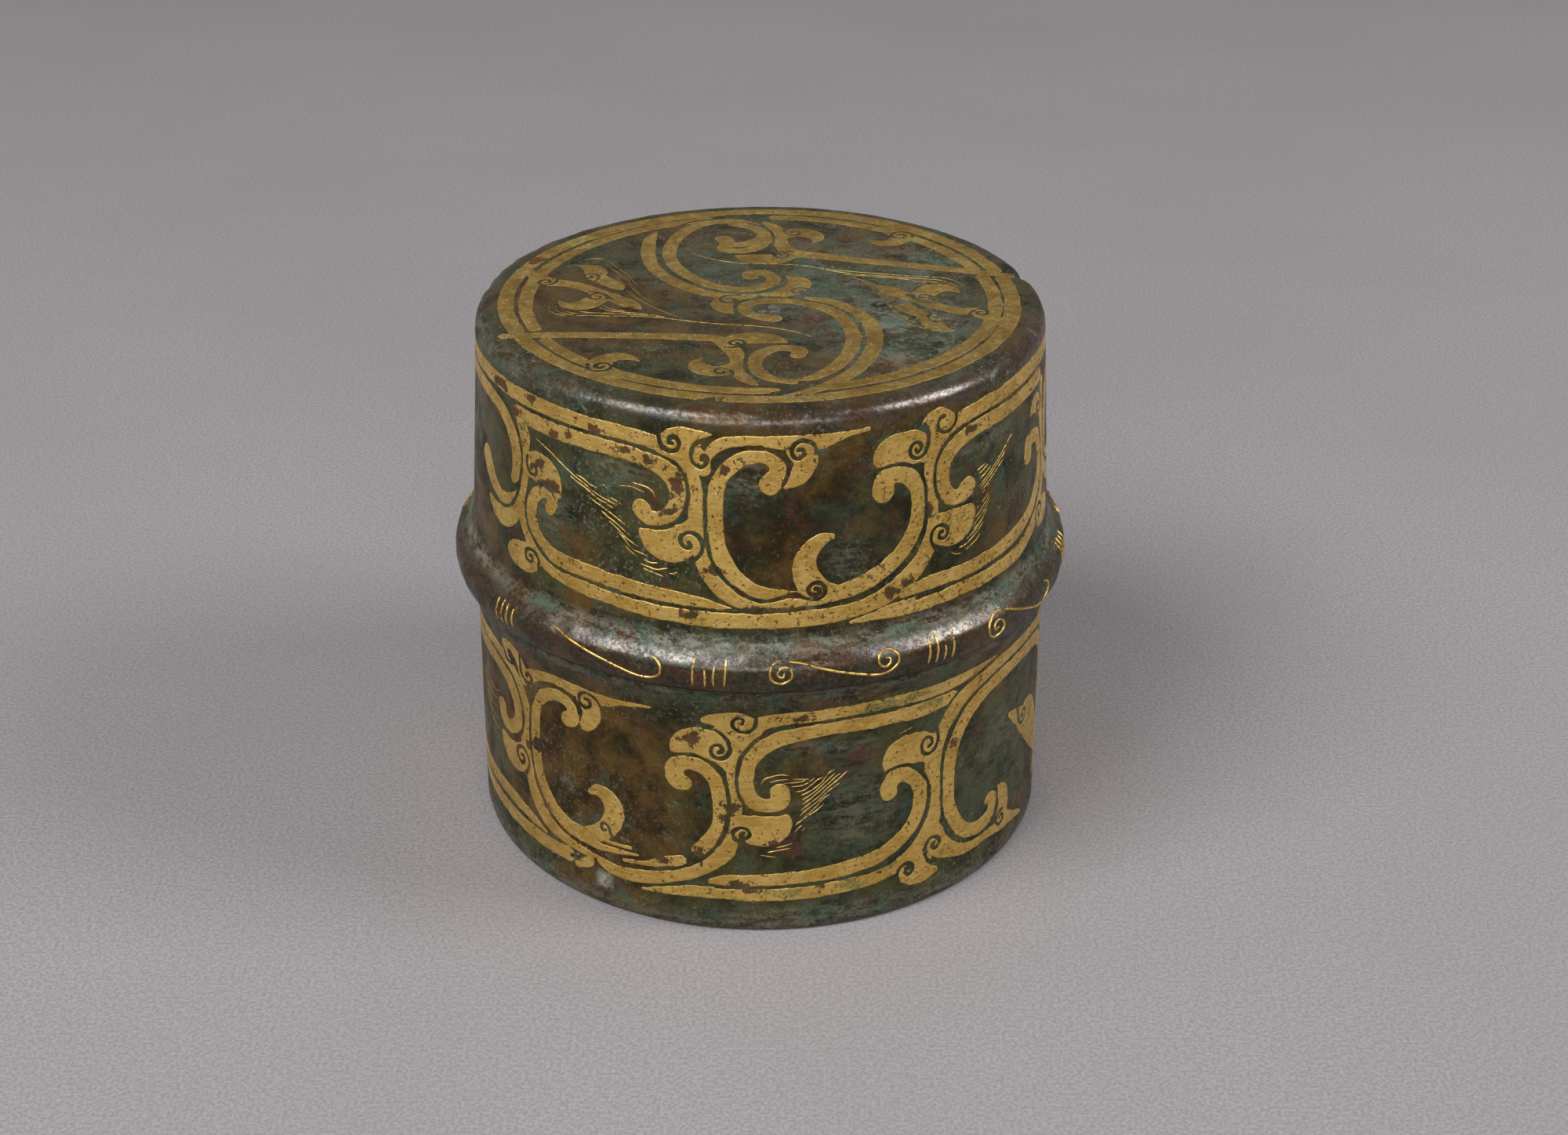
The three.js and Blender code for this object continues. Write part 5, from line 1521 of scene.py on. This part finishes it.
    def decay(self, points: Array) -> tuple[Array, Marks]:
        """Corroded left shoulder and ring, rubbed edges, dust above the ring, painted shade at the ring's foot and
        below its edge, and the notch in the shoulder.

        Args:
            points: Rows of coordinates in millimetres.

        Returns:
            Displacement outward, and the vertex values that the finish reads.
        """
        x, y, z = points.T
        radius = np.hypot(x, y)
        angle = np.arctan2(x, -y)
        right, ahead = np.sin(angle), np.cos(angle)
        along = angle * SIZES.drawn_radius
        outside = (radius > self.outside_radius) | (z > self.outside_height)
        top = self.top_face(z)
        wall = self.wall_foot(z) * (1 - top) * outside
        shoulder = self.shoulder(z) * self.shoulder_radius(radius)
        left = np.clip(self.left_side(-right) + 0.5 * self.rear_side(-ahead), 0, 1)
        ring = self.ring_radius(radius)
        flank = self.flank(z) * self.flank_radius(radius)
        edge = self.edge(z) * ring
        crest = self.crest(z) * ring
        left_crest = crest * self.left_ring(right)
        rough = np.clip(shoulder * (0.25 + 1.4 * left) + 0.45 * ring + 0.3 * flank, 0, 1.5)
        rough = np.where(outside, rough, self.inside_rough)
        notch = self.notch_angle(angle) * self.notch_radius(radius) * self.notch_height(z)
        push = RELIEF.smooth(points) + RELIEF.rough(points, rough) - self.notch_depth * notch
        zones = {
            mark: wall * zoned(self.zones, mark, along, z) + top * zoned(self.top_zones, mark, x, y)
            for mark in (Mark.DUST, Mark.BROWN, Mark.RED, Mark.DARK)
        }
        speckle = 0.75 + 0.25 * RELIEF.middle(points)
        dust = (0.85 * flank + 0.65 * shoulder * left) * speckle + 0.12 * ~outside + zones[Mark.DUST]
        rubbed = shoulder * (0.55 + 0.45 * self.rubbed_right(right)) + 1.2 * edge + 0.32 * crest + 0.25 * flank
        wear = rubbed * self.rubbed_front(ahead) + 0.12 * top
        # Painted shade: the concave foot where the wall meets the ring is darkened, and so is the ring below its upper
        # edge, partly near-black skin and partly painted shade on its lower face.
        dark = 0.8 * crest + 0.8 * self.foot(z) * outside + zones[Mark.DARK]
        return push, {
            Mark.DUST: np.clip(dust, 0, 1),
            Mark.WEAR: np.clip(wear, 0, 1),
            Mark.BROWN: self.brown_drift * RELIEF.broad(points) + zones[Mark.BROWN] + 0.1 * left_crest,
            Mark.RED: zones[Mark.RED] + 0.3 * left_crest,
            Mark.DARK: np.clip(dark, 0, 1),
            Mark.CHALK: np.zeros(len(points)),
        }


@dataclass
class BodyCasting(Casting):
    """The box: floor, wall, ledge and the neck that the lid slides over."""

    name: str = "body_casting"
    body: Body = Body.BOX
    node: str = "box_body"
    zones: tuple[Zone, ...] = (
        Zone(Mark.DARK, (8, 13), (7, 6), 0.5),
        Zone(Mark.DARK, (-15, 14), (6, 6), 0.3),
        Zone(Mark.BROWN, (-14, 13), (8, 7), 0.2),
        Zone(Mark.BROWN, (14, 11), (13, 12), -0.22),
        Zone(Mark.RED, (9.5, 18.4), (2, 1), 0.9),
        Zone(Mark.RED, (-22, 14), (3, 1.5), 0.7),
        Zone(Mark.RED, (2, 9.2), (2, 1.2), 0.6),
        Zone(Mark.DUST, (6, 19.4), (4, 0.8), 0.35),
        Zone(Mark.DUST, (27, 14), (6, 5), 0.25),
        Zone(Mark.DUST, (9, 12), (5, 5), 0.28),
        Zone(Mark.DUST, (6, 2), (9, 0.8), 0.3),
    )
    wall_heights: tuple[float, ...] = (0.5, 8.0, 16.0, 20.5, 22.0, 23.2, 24.4, 25.4, 26.1)
    fillet: float = 1.6
    chamfer: float = 0.25
    base_chamfer: float = 0.15
    seam: float = 0.02
    inside_row: float = 1.3
    outer_radius: float = 26.5
    outside_radius: float = 25.6
    outside_height: float = 0.5
    neck_inside: float = 25.0
    neck_swell: float = 0.02
    foot: Bump = Bump(0.6, 1.1)
    foot_radius: Ramp = Ramp(26.0, 27.0)
    ledge: Bump = Bump(25.6, 1.0)
    ledge_radius: Ramp = Ramp(27.0, 27.6)
    base: Ramp = Ramp(0.3, 0.0)
    base_radius: Ramp = Ramp(27.3, 26.6)
    uneven: Ramp = Ramp(0.0, 0.6)
    pitted: Ramp = Ramp(0.05, 0.8)
    shaded: Ramp = Ramp(24.0, 25.5)
    rubbed_front: Ramp = Ramp(0.0, 0.8)
    pale_spot: Spot = Spot((-18.5, 4.1), (0.8, 0.7))
    chalk_dab: Spot = Spot((-15.2, 2.9), (0.8, 0.85), 4)

    def profile(self) -> list[Point]:
        """The section from under the base, up the wall, over the ledge and neck and down into the bore."""
        s = SIZES
        wall = [(float(s.body_radius(z)), z) for z in self.wall_heights]
        bend = [math.radians(a) for a in range(0, 91, 18)]
        inner = [
            (s.bore_radius - self.fillet * (1 - math.sin(a)), s.floor + self.fillet * (1 - math.cos(a))) for a in bend
        ]
        ledge, rim = s.parting - self.seam, s.neck_top - self.chamfer
        return [
            (0.0, 0.0), (s.base_radius - s.base_edge, 0.0), (s.base_radius - self.base_chamfer, self.base_chamfer),
            *wall, (float(s.body_radius(s.parting)) - self.base_chamfer, ledge), (s.neck_radius, ledge),
            (s.neck_radius, rim), (s.neck_radius - self.chamfer, s.neck_top),
            (s.bore_radius + self.chamfer, s.neck_top), (s.bore_radius, rim), *reversed(inner), (0.0, s.floor),
        ]

    def row_length(self, start: Point, end: Point) -> float:
        """Fine rows on the outer wall, longer ones elsewhere."""
        return self.fine_row if min(start[0], end[0]) > self.outer_radius else self.inside_row

    def decay(self, points: Array) -> tuple[Array, Marks]:
        """Corroded foot, ledge and underside, a rubbed neck and foot, and a pale dab at the lower left.

        Args:
            points: Rows of coordinates in millimetres.

        Returns:
            Displacement outward, and the vertex values that the finish reads.
        """
        x, y, z = points.T
        radius = np.hypot(x, y)
        angle = np.arctan2(x, -y)
        along = angle * SIZES.drawn_radius
        outside = (radius > self.outside_radius) | (z < self.outside_height)
        foot = self.foot(z) * self.foot_radius(radius)
        ledge = self.ledge(z) * self.ledge_radius(radius)
        under = self.base(z) * self.base_radius(radius)
        rough = np.where(outside, 0.5 * foot + 0.4 * ledge + 0.25 * under, self.inside_rough)
        push = RELIEF.smooth(points) * self.uneven(z)
        push += RELIEF.rough(points, rough) * self.pitted(z)
        neck = (z > SIZES.parting) & (radius > self.neck_inside)
        push = np.where(neck, np.minimum(push, self.neck_swell), push)
        zones = {mark: outside * zoned(self.zones, mark, along, z) for mark in BRONZE_MARKS}
        spot = self.pale_spot(along, z)
        dust = 0.35 * foot + 0.3 * ledge + 0.9 * spot + 0.25 * ~outside + 0.3 * under + zones[Mark.DUST]
        wear = 0.35 * neck + 0.25 * foot * self.rubbed_front(np.cos(angle))
        # Painted shade: the wall darkened just below the parting, where the lid's ring overhangs it.
        dark = zones[Mark.DARK] + 0.5 * self.shaded(z) * outside
        return push, {
            Mark.DUST: np.clip(dust, 0, 1),
            Mark.WEAR: np.clip(wear, 0, 1),
            Mark.BROWN: self.brown_drift * RELIEF.broad(points) + zones[Mark.BROWN],
            Mark.RED: zones[Mark.RED],
            Mark.DARK: np.clip(dark, 0, 1),
            Mark.CHALK: self.chalk_dab(along, z) * outside,
        }


def tapered(count: int, thin: float = 0.45, growth: float = 0.25) -> Array:
    """Shares of full thickness at so many points along a wire that thins out at its ends."""
    steps = np.arange(count)
    return np.minimum(1, thin + growth * np.minimum(steps, steps[::-1]))


@dataclass
class Inlay:
    """Gold sheets and hair-fine wires of one ornamented face, lying a hair proud of the bronze.

    The prefix begins the names of the nodes that the sheets stand for, and the sides end them. The sheets'
    edges are sunk and their middles crowned, and they are grown a little over the drawn edge.
    """

    name: str
    body: Body
    prefix: str
    drawing: Drawing
    gold: Gold
    hair_gold: Gold
    sides: tuple[str, ...] = ("",)
    rim_sink: float = 0.045
    crown: float = 0.022
    soft_edge: Bump = Bump(0.0, 0.08)
    grown: float = 0.085
    fray_depth: float = 0.065
    wear_depth: float = 0.08
    gnawed: float = 0.7
    far_stain: float = 0.6
    hair_spacing: float = 0.15
    hair_width: float = 0.12
    hair_half: float = 0.43
    hair_proud: float = 0.045
    hair_base: float = 0.9
    hair_sway: float = 0.3

    def __post_init__(self) -> None:
        """Draws the noises of the sheets' edges."""
        self.fray = Lumps(29, 0.5)
        self.worn = Lumps(31, 1.6)

    def field(self) -> InlayField:
        """The flat grid that covers the face."""
        raise NotImplementedError

    def shift(self, side: int) -> float:
        """How far along the face the drawing is laid again for a side."""
        return 0.0

    def place(self, across: Array, up: Array, lift: Array) -> Array:
        """Points of the flat drawing on the face, lifted off it.

        Args:
            across: Distances along the drawing.
            up: Heights on the drawing.
            lift: Distances outward from the bronze.

        Returns:
            Points in millimetres.
        """
        raise NotImplementedError

    def edge(self, grid: InlayField, drawn: Array, side: int) -> Array:
        """Field of the gold with a frayed edge and the losses of the first side.

        Args:
            grid: The flat grid.
            drawn: Field of the gold as it is drawn.
            side: Which of the sides.

        Returns:
            Distance to the edge of the sheets, negative inside.
        """
        left = grid.low[0] + self.shift(side)
        across, up = np.meshgrid(left + grid.step * np.arange(grid.columns), grid.up)
        solid = self.place(across.ravel(), up.ravel(), np.zeros(across.size))
        fray, worn = (noise(solid).reshape(drawn.shape) for noise in (self.fray, self.worn))
        field = drawn + (self.fray_depth * fray + self.wear_depth * np.maximum(worn, 0))
        for x, y, radius in self.drawing.losses if side == 0 else ():
            field = np.maximum(field, radius * (1 + self.gnawed * (fray + worn)) - np.hypot(across - x, up - y))
        return field - self.grown

    def sheet(self, grid: InlayField, drawn: Array, side: int) -> tuple[Array, Array, Marks]:
        """Gold sheets of one side.

        Args:
            grid: The flat grid.
            drawn: Field of the gold on it.
            side: Which of the sides.

        Returns:
            Vertices, triangles and the vertex values that the finish reads.
        """
        points, triangles, depth = contour(self.edge(grid, drawn, side))
        inside = np.maximum(-depth, 0)
        lift = -self.rim_sink + (self.rim_sink + self.crown) * (1 - self.soft_edge(inside))
        along = grid.low[0] + self.shift(side) + grid.step * points[:, 0]
        high = grid.low[1] + grid.pitch * points[:, 1]
        marks = {Mark.RIM: np.maximum(inside - self.grown, 0)}
        strength = 1.0 if side == 0 else self.far_stain
        for mark, spots in ((Mark.RUST, self.drawing.rust), (Mark.MOSS, self.drawing.moss)):
            marks[mark] = np.zeros(len(points))
            for x, y, wide, tall in spots:
                spot = strength * Spot((x, y), (wide, tall))(along - self.shift(side), high)
                marks[mark] = np.maximum(marks[mark], spot)
        return self.place(along, high, lift), triangles, marks

    def build(self, group: bpy.types.NodeTree) -> list[bpy.types.Object]:
        """Makes the sheets of each side as one piece of their body, and the hair-fine wires as another.

        Args:
            group: The node group that the golds share.

        Returns:
            The pieces.
        """
        material = self.gold.make(group)
        grid = self.field()
        drawn = grid.gold(self.drawing)
        pieces = []
        for number, side in enumerate(self.sides):
            points, triangles, marks = self.sheet(grid, drawn, number)
            piece = make_mesh(self.name + side, points, triangles, marks)
            piece.data.materials.append(material)
            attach(piece, self.body.value)
            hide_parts(*[n for n in sorted(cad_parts) if n.startswith(self.prefix) and n.endswith(side)])
            pieces.append(piece)
        hair_material = self.hair_gold.make(group)
        pieces.append(build_wires(self.name + "_hairs", self.body, self.hairs(), hair_material))
        return pieces

    def hairs(self) -> Paths:
        """Centre lines of the fine wires on the face and their radius along the way, in millimetres."""
        paths = []
        for side in range(len(self.sides)):
            for knots in self.drawing.hairs:
                line = spline(knots, self.hair_spacing)
                width = line[:, 2] if line.shape[1] > 2 else np.full(len(line), self.hair_width)
                across, up = line[:, 0] + self.shift(side), line[:, 1]
                rough = self.fray(self.place(across, up, np.zeros(len(line))))
                share = tapered(len(line)) * (self.hair_base + self.hair_sway * rough)
                half, proud = width * self.hair_half * share, self.hair_proud * share
                radius = (half**2 + proud**2) / (2 * proud)
                paths.append((self.place(across, up, proud - radius), radius))
        return paths


@dataclass
class WallInlay(Inlay):
    """Inlay on a round wall, drawn once for each half turn, between two heights."""

    sides: tuple[str, ...] = ("_front", "_back")
    heights: Point = (0.0, 1.0)
    wall_radius: Callable[[Array], Array] = SIZES.body_radius

    def field(self) -> InlayField:
        """A grid that covers half a turn of the wall."""
        half = SIZES.half_turn / 2
        return InlayField((-half, self.heights[0]), (half, self.heights[1]), True)

    def shift(self, side: int) -> float:
        """Half a turn for each side."""
        return side * SIZES.half_turn

    def place(self, across: Array, up: Array, lift: Array) -> Array:
        """Points of the flat drawing on the wall, lifted off it.

        Args:
            across: Distances along the drawing.
            up: Heights on the drawing.
            lift: Distances outward from the bronze.

        Returns:
            Points in millimetres.
        """
        angle = across / SIZES.drawn_radius
        radius = self.wall_radius(up)
        relief = RELIEF.smooth(on_cylinder(radius, angle, up))
        return on_cylinder(radius + relief + lift, angle, up)


@dataclass
class LidInlay(WallInlay):
    """Scrolls on the lid's wall."""

    name: str = "lid_scrolls"
    body: Body = Body.LID
    prefix: str = "gold_lid_"
    drawing: Drawing = LID_DRAWING
    gold: Gold = Gold("gold_lid", loss=0.02)
    hair_gold: Gold = Gold("gold_lid_hairs", dull=0.3)
    heights: Point = (31.3, 50.3)
    wall_radius: Callable[[Array], Array] = SIZES.lid_radius


@dataclass
class BodyInlay(WallInlay):
    """Scrolls on the body's wall."""

    name: str = "body_scrolls"
    body: Body = Body.BOX
    prefix: str = "gold_body_"
    drawing: Drawing = BODY_DRAWING
    gold: Gold = Gold("gold_body", dull=0.08)
    hair_gold: Gold = Gold("gold_body_hairs", dull=0.75)
    heights: Point = (1.9, 24.1)


@dataclass
class TopInlay(Inlay):
    """Scrolls on the lid's flat top."""

    name: str = "top_scrolls"
    body: Body = Body.LID
    prefix: str = "gold_top_"
    drawing: Drawing = TOP_DRAWING
    gold: Gold = Gold("gold_top", loss=-0.03, dull=0.09)
    hair_gold: Gold = Gold("gold_top_hairs", dull=0.95)
    hair_half: float = 0.35
    hair_proud: float = 0.04
    reach: float = 25.2

    def field(self) -> InlayField:
        """A square grid that covers the top."""
        return InlayField((-self.reach, -self.reach), (self.reach, self.reach), False)

    def place(self, across: Array, up: Array, lift: Array) -> Array:
        """Points of the flat drawing on the top, lifted off it.

        Args:
            across: Distances to the right.
            up: Distances to the back.
            lift: Distances up from the bronze.

        Returns:
            Points in millimetres.
        """
        points = np.stack([across, up, np.full(len(across), SIZES.total_height)], 1)
        points[:, 2] += RELIEF.smooth(points) + lift
        return points


@dataclass
class RingWires:
    """Gold wires hammered into the mouth ring: groups of four bars with scrolls between them.

    The front's wires have strokes of their own, and bars and scrolls repeat round the rest.
    """

    lid: LidCasting
    name: str = "ring_wires"
    radius: float = 0.13
    proud: float = -0.02
    spacing: float = 0.2
    pitch: float = 21.9
    repeats: int = 6

    def surface(self, along: Array, height: Array) -> Array:
        """Points on the ring's face.

        Args:
            along: Distances round the ring.
            height: Heights above the base.

        Returns:
            Points in millimetres, sunk a little into the bronze.
        """
        radii, heights = np.array(self.lid.ring).T
        radius = np.interp(height, heights, radii)
        angle = along / SIZES.drawn_radius
        push, _ = self.lid.decay(on_cylinder(radius, angle, height))
        return on_cylinder(radius + push + self.proud, angle, height)

    def paths(self) -> Paths:
        """Centre lines of all the wires in millimetres, each with its radius along the way."""
        lines = [*RING_FRONT, *RING_SCROLL]
        for drawn, first in ((RING_BARS, 1), (RING_SCROLL, 2)):
            for k in range(first, self.repeats):
                lines += [knots + (k * self.pitch, 0.0) for knots in drawn]
        paths = []
        for knots in lines:
            line = spline(knots, self.spacing)
            paths.append((self.surface(*line.T), self.radius * tapered(len(line))))
        return paths

    def build(self, material: bpy.types.Material) -> bpy.types.Object:
        """Makes the wires as one piece of the lid."""
        return build_wires(self.name, self.lid.body, self.paths(), material)


def wire_tree(material: bpy.types.Material) -> bpy.types.NodeTree:
    """Geometry node tree that turns lines into round wires.

    Args:
        material: Finish of the wires.

    Returns:
        The tree, with a named input for the number of sides.
    """
    sockets = [("Lines", "INPUT", "Geometry"), ("Sides", "INPUT", "Int"), ("Wires", "OUTPUT", "Geometry")]
    n = node_group("wires", "GeometryNodeTree", sockets)
    given = n.add("NodeGroupInput").outputs
    ring = n.add("GeometryNodeCurvePrimitiveCircle", {"Resolution": given["Sides"], "Radius": 1.0}).outputs["Curve"]
    tube = n.add("GeometryNodeCurveToMesh", {"Curve": given["Lines"], "Profile Curve": ring, "Fill Caps": True})
    if "Scale" in tube.inputs:
        n.tree.links.new(n.add("GeometryNodeInputRadius").outputs[0], tube.inputs["Scale"])
    soft = n.add("GeometryNodeSetShadeSmooth", {"Geometry": tube.outputs["Mesh"]})
    real = n.add("GeometryNodeRealizeInstances", {"Geometry": soft.outputs["Geometry"]})
    dressed = n.add("GeometryNodeSetMaterial", {"Geometry": real.outputs["Geometry"], "Material": material})
    n.add("NodeGroupOutput", {"Wires": dressed.outputs["Geometry"]})
    return n.tree


def build_wires(name: str, body: Body, paths: Paths, material: bpy.types.Material) -> bpy.types.Object:
    """Round wires along paths.

    Args:
        name: Name of the piece.
        body: Body that carries the wires.
        paths: Centre lines in millimetres, each with its radius.
        material: Finish of the wires.

    Returns:
        The piece as one plain mesh.
    """
    sides, clear_of_rim = 6, 1.0
    curve = bpy.data.curves.new(name + "_lines", "CURVE")
    curve.dimensions = "3D"
    for line, radius in paths:
        run = curve.splines.new("POLY")
        run.points.add(len(line) - 1)
        rows = np.column_stack([line * MM, np.ones(len(line))])
        run.points.foreach_set("co", rows.astype(np.float32).ravel())
        run.points.foreach_set("radius", (radius * MM).astype(np.float32))
    lines = linked(name + "_lines", curve)
    tree = wire_tree(material)
    modifier = lines.modifiers.new("wires", "NODES")
    modifier.node_group = tree
    socket = next(item for item in tree.interface.items_tree if item.name == "Sides")
    modifier[socket.identifier] = sides
    bpy.context.view_layer.update()
    made = lines.evaluated_get(bpy.context.evaluated_depsgraph_get())
    mesh = bpy.data.meshes.new_from_object(made)
    mesh.name = name
    lines.modifiers.remove(modifier)
    bpy.data.objects.remove(lines)
    keep_mark(mesh, Mark.RIM, np.full(len(mesh.vertices), clear_of_rim))
    piece = linked(name, mesh)
    if not mesh.materials:
        mesh.materials.append(material)
    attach(piece, body.value)
    return piece


@dataclass(frozen=True)
class Paper:
    """Finish of the floor: matt grey paper with a fine fibre."""

    name: str = "grey_paper"
    colour: Colour = (0.388, 0.366, 0.378)
    dark_share: float = 0.7
    roughness: float = 0.85
    bump: float = 0.1
    bump_strength: float = 0.2
    fibre: Grain = Grain(3.0, 6, 0.65)
    cloud: Grain = Grain(0.02, 3, 0.5)

    def make(self) -> bpy.types.Material:
        """The material."""
        material, n = blank_material(self.name)
        place = n.place()
        fibre, cloud = n.noise(place, self.fibre), n.noise(place, self.cloud)
        dark = tuple(self.dark_share * c for c in self.colour)
        colour = n.mix(n.ramp(fibre, 0.36, 0.64), dark, self.colour)
        colour = n.mix(n.ramp(cloud, 0.3, 0.7, 0.0, 0.25), colour, dark)
        bump = {"Strength": self.bump_strength, "Distance": self.bump * MM, "Height": fibre}
        normal = n.add("ShaderNodeBump", bump).outputs["Normal"]
        look = {"Base Color": colour, "Roughness": self.roughness, "Normal": normal}
        shader = n.add("ShaderNodeBsdfPrincipled", look)
        n.add("ShaderNodeOutputMaterial", {"Surface": shader.outputs["BSDF"]})
        return material


@dataclass(frozen=True)
class Lamp:
    """A soft box that looks at the object, in metres and watts."""

    name: str
    place: Place
    wide: float
    tall: float
    power: float


@dataclass(frozen=True)
class Studio:
    """Paper floor, a soft box on each side and a low one in front, and the camera.

    The camera's distance and aim and the floor are in millimetres, its elevation in radians.
    """

    lamps: tuple[Lamp, ...] = (
        Lamp("left", (-0.43, -0.36, 0.71), 0.45, 0.4, 5.2),
        Lamp("right", (0.68, -0.12, 0.58), 0.3, 0.3, 3.5),
        Lamp("front", (-0.1, -1.0, 0.56), 1.2, 0.3, 4.4),
    )
    lamp_aim: Place = (0.0, 0.0, 0.03)
    room_colour: tuple[float, float, float, float] = (1.0, 0.98, 0.97, 1.0)
    room_strength: float = 0.19
    floor_side: float = 6000.0
    floor_cells: int = 8
    floor_drop: float = 0.02
    lens: float = 55.87
    sensor: float = 36.0
    near: float = 0.01
    distance: float = 237.6
    elevation: float = 0.4769
    aim: float = 25.86
    shift: Point = (0.0152, -0.01416)

    def floor(self) -> bpy.types.Object:
        """The sheet of paper that the box stands on."""
        cells, half = self.floor_cells, self.floor_side / 2
        line = np.linspace(-half, half, cells + 1)
        points = np.array([(x, y, -self.floor_drop) for y in line for x in line])
        row, col = np.meshgrid(np.arange(cells), np.arange(cells), indexing="ij")
        start = (row * (cells + 1) + col).ravel()
        piece = make_mesh("paper", points, np.stack([start, start + 1, start + cells + 2, start + cells + 1], 1))
        piece.data.materials.append(Paper().make())
        return piece

    def lights(self) -> None:
        """The soft boxes and the room's own light."""
        for lamp in self.lamps:
            light = bpy.data.lights.new(lamp.name, "AREA")
            light.shape = "RECTANGLE"
            light.size, light.size_y = lamp.wide, lamp.tall
            light.energy = lamp.power
            holder = linked(lamp.name, light)
            holder.location = lamp.place
            way = Vector(self.lamp_aim) - Vector(lamp.place)
            holder.rotation_euler = way.to_track_quat("-Z", "Y").to_euler()
        world = bpy.data.worlds.new("room")
        world.use_nodes = True
        background = world.node_tree.nodes["Background"]
        background.inputs["Color"].default_value = self.room_colour
        background.inputs["Strength"].default_value = self.room_strength
        bpy.context.scene.world = world

    def camera(self) -> None:
        """The camera at the photograph's viewing angle."""
        lens = bpy.data.cameras.new("camera")
        lens.lens = self.lens
        lens.sensor_width = self.sensor
        lens.clip_start = self.near
        lens.shift_x, lens.shift_y = self.shift
        holder = linked("camera", lens)
        away = self.distance * MM
        holder.location = (0.0, -away * math.cos(self.elevation), away * math.sin(self.elevation) + self.aim * MM)
        holder.rotation_euler = (math.pi / 2 - self.elevation, 0.0, 0.0)
        bpy.context.scene.camera = holder


def main() -> None:
    """Builds and dresses every piece and reports it."""
    logging.basicConfig(level=logging.INFO, format="%(name)s: %(message)s")
    bpy.context.scene.view_settings.view_transform = "Standard"
    studio = Studio()
    studio.camera()
    studio.lights()
    studio.floor()
    bronze = Bronze().make()
    lid, lid_inlay = LidCasting(), LidInlay()
    shared = lid_inlay.gold.group()
    made = [lid.build(bronze), BodyCasting().build(bronze)]
    for inlay in (lid_inlay, BodyInlay(), TopInlay()):
        made.extend(inlay.build(shared))
    made.append(RingWires(lid).build(bpy.data.materials[lid_inlay.gold.name]))
    for piece in made:
        LOG.info("%s: %d vertices, %d faces", piece.name, len(piece.data.vertices), len(piece.data.polygons))


if __name__ == "__main__":
    main()
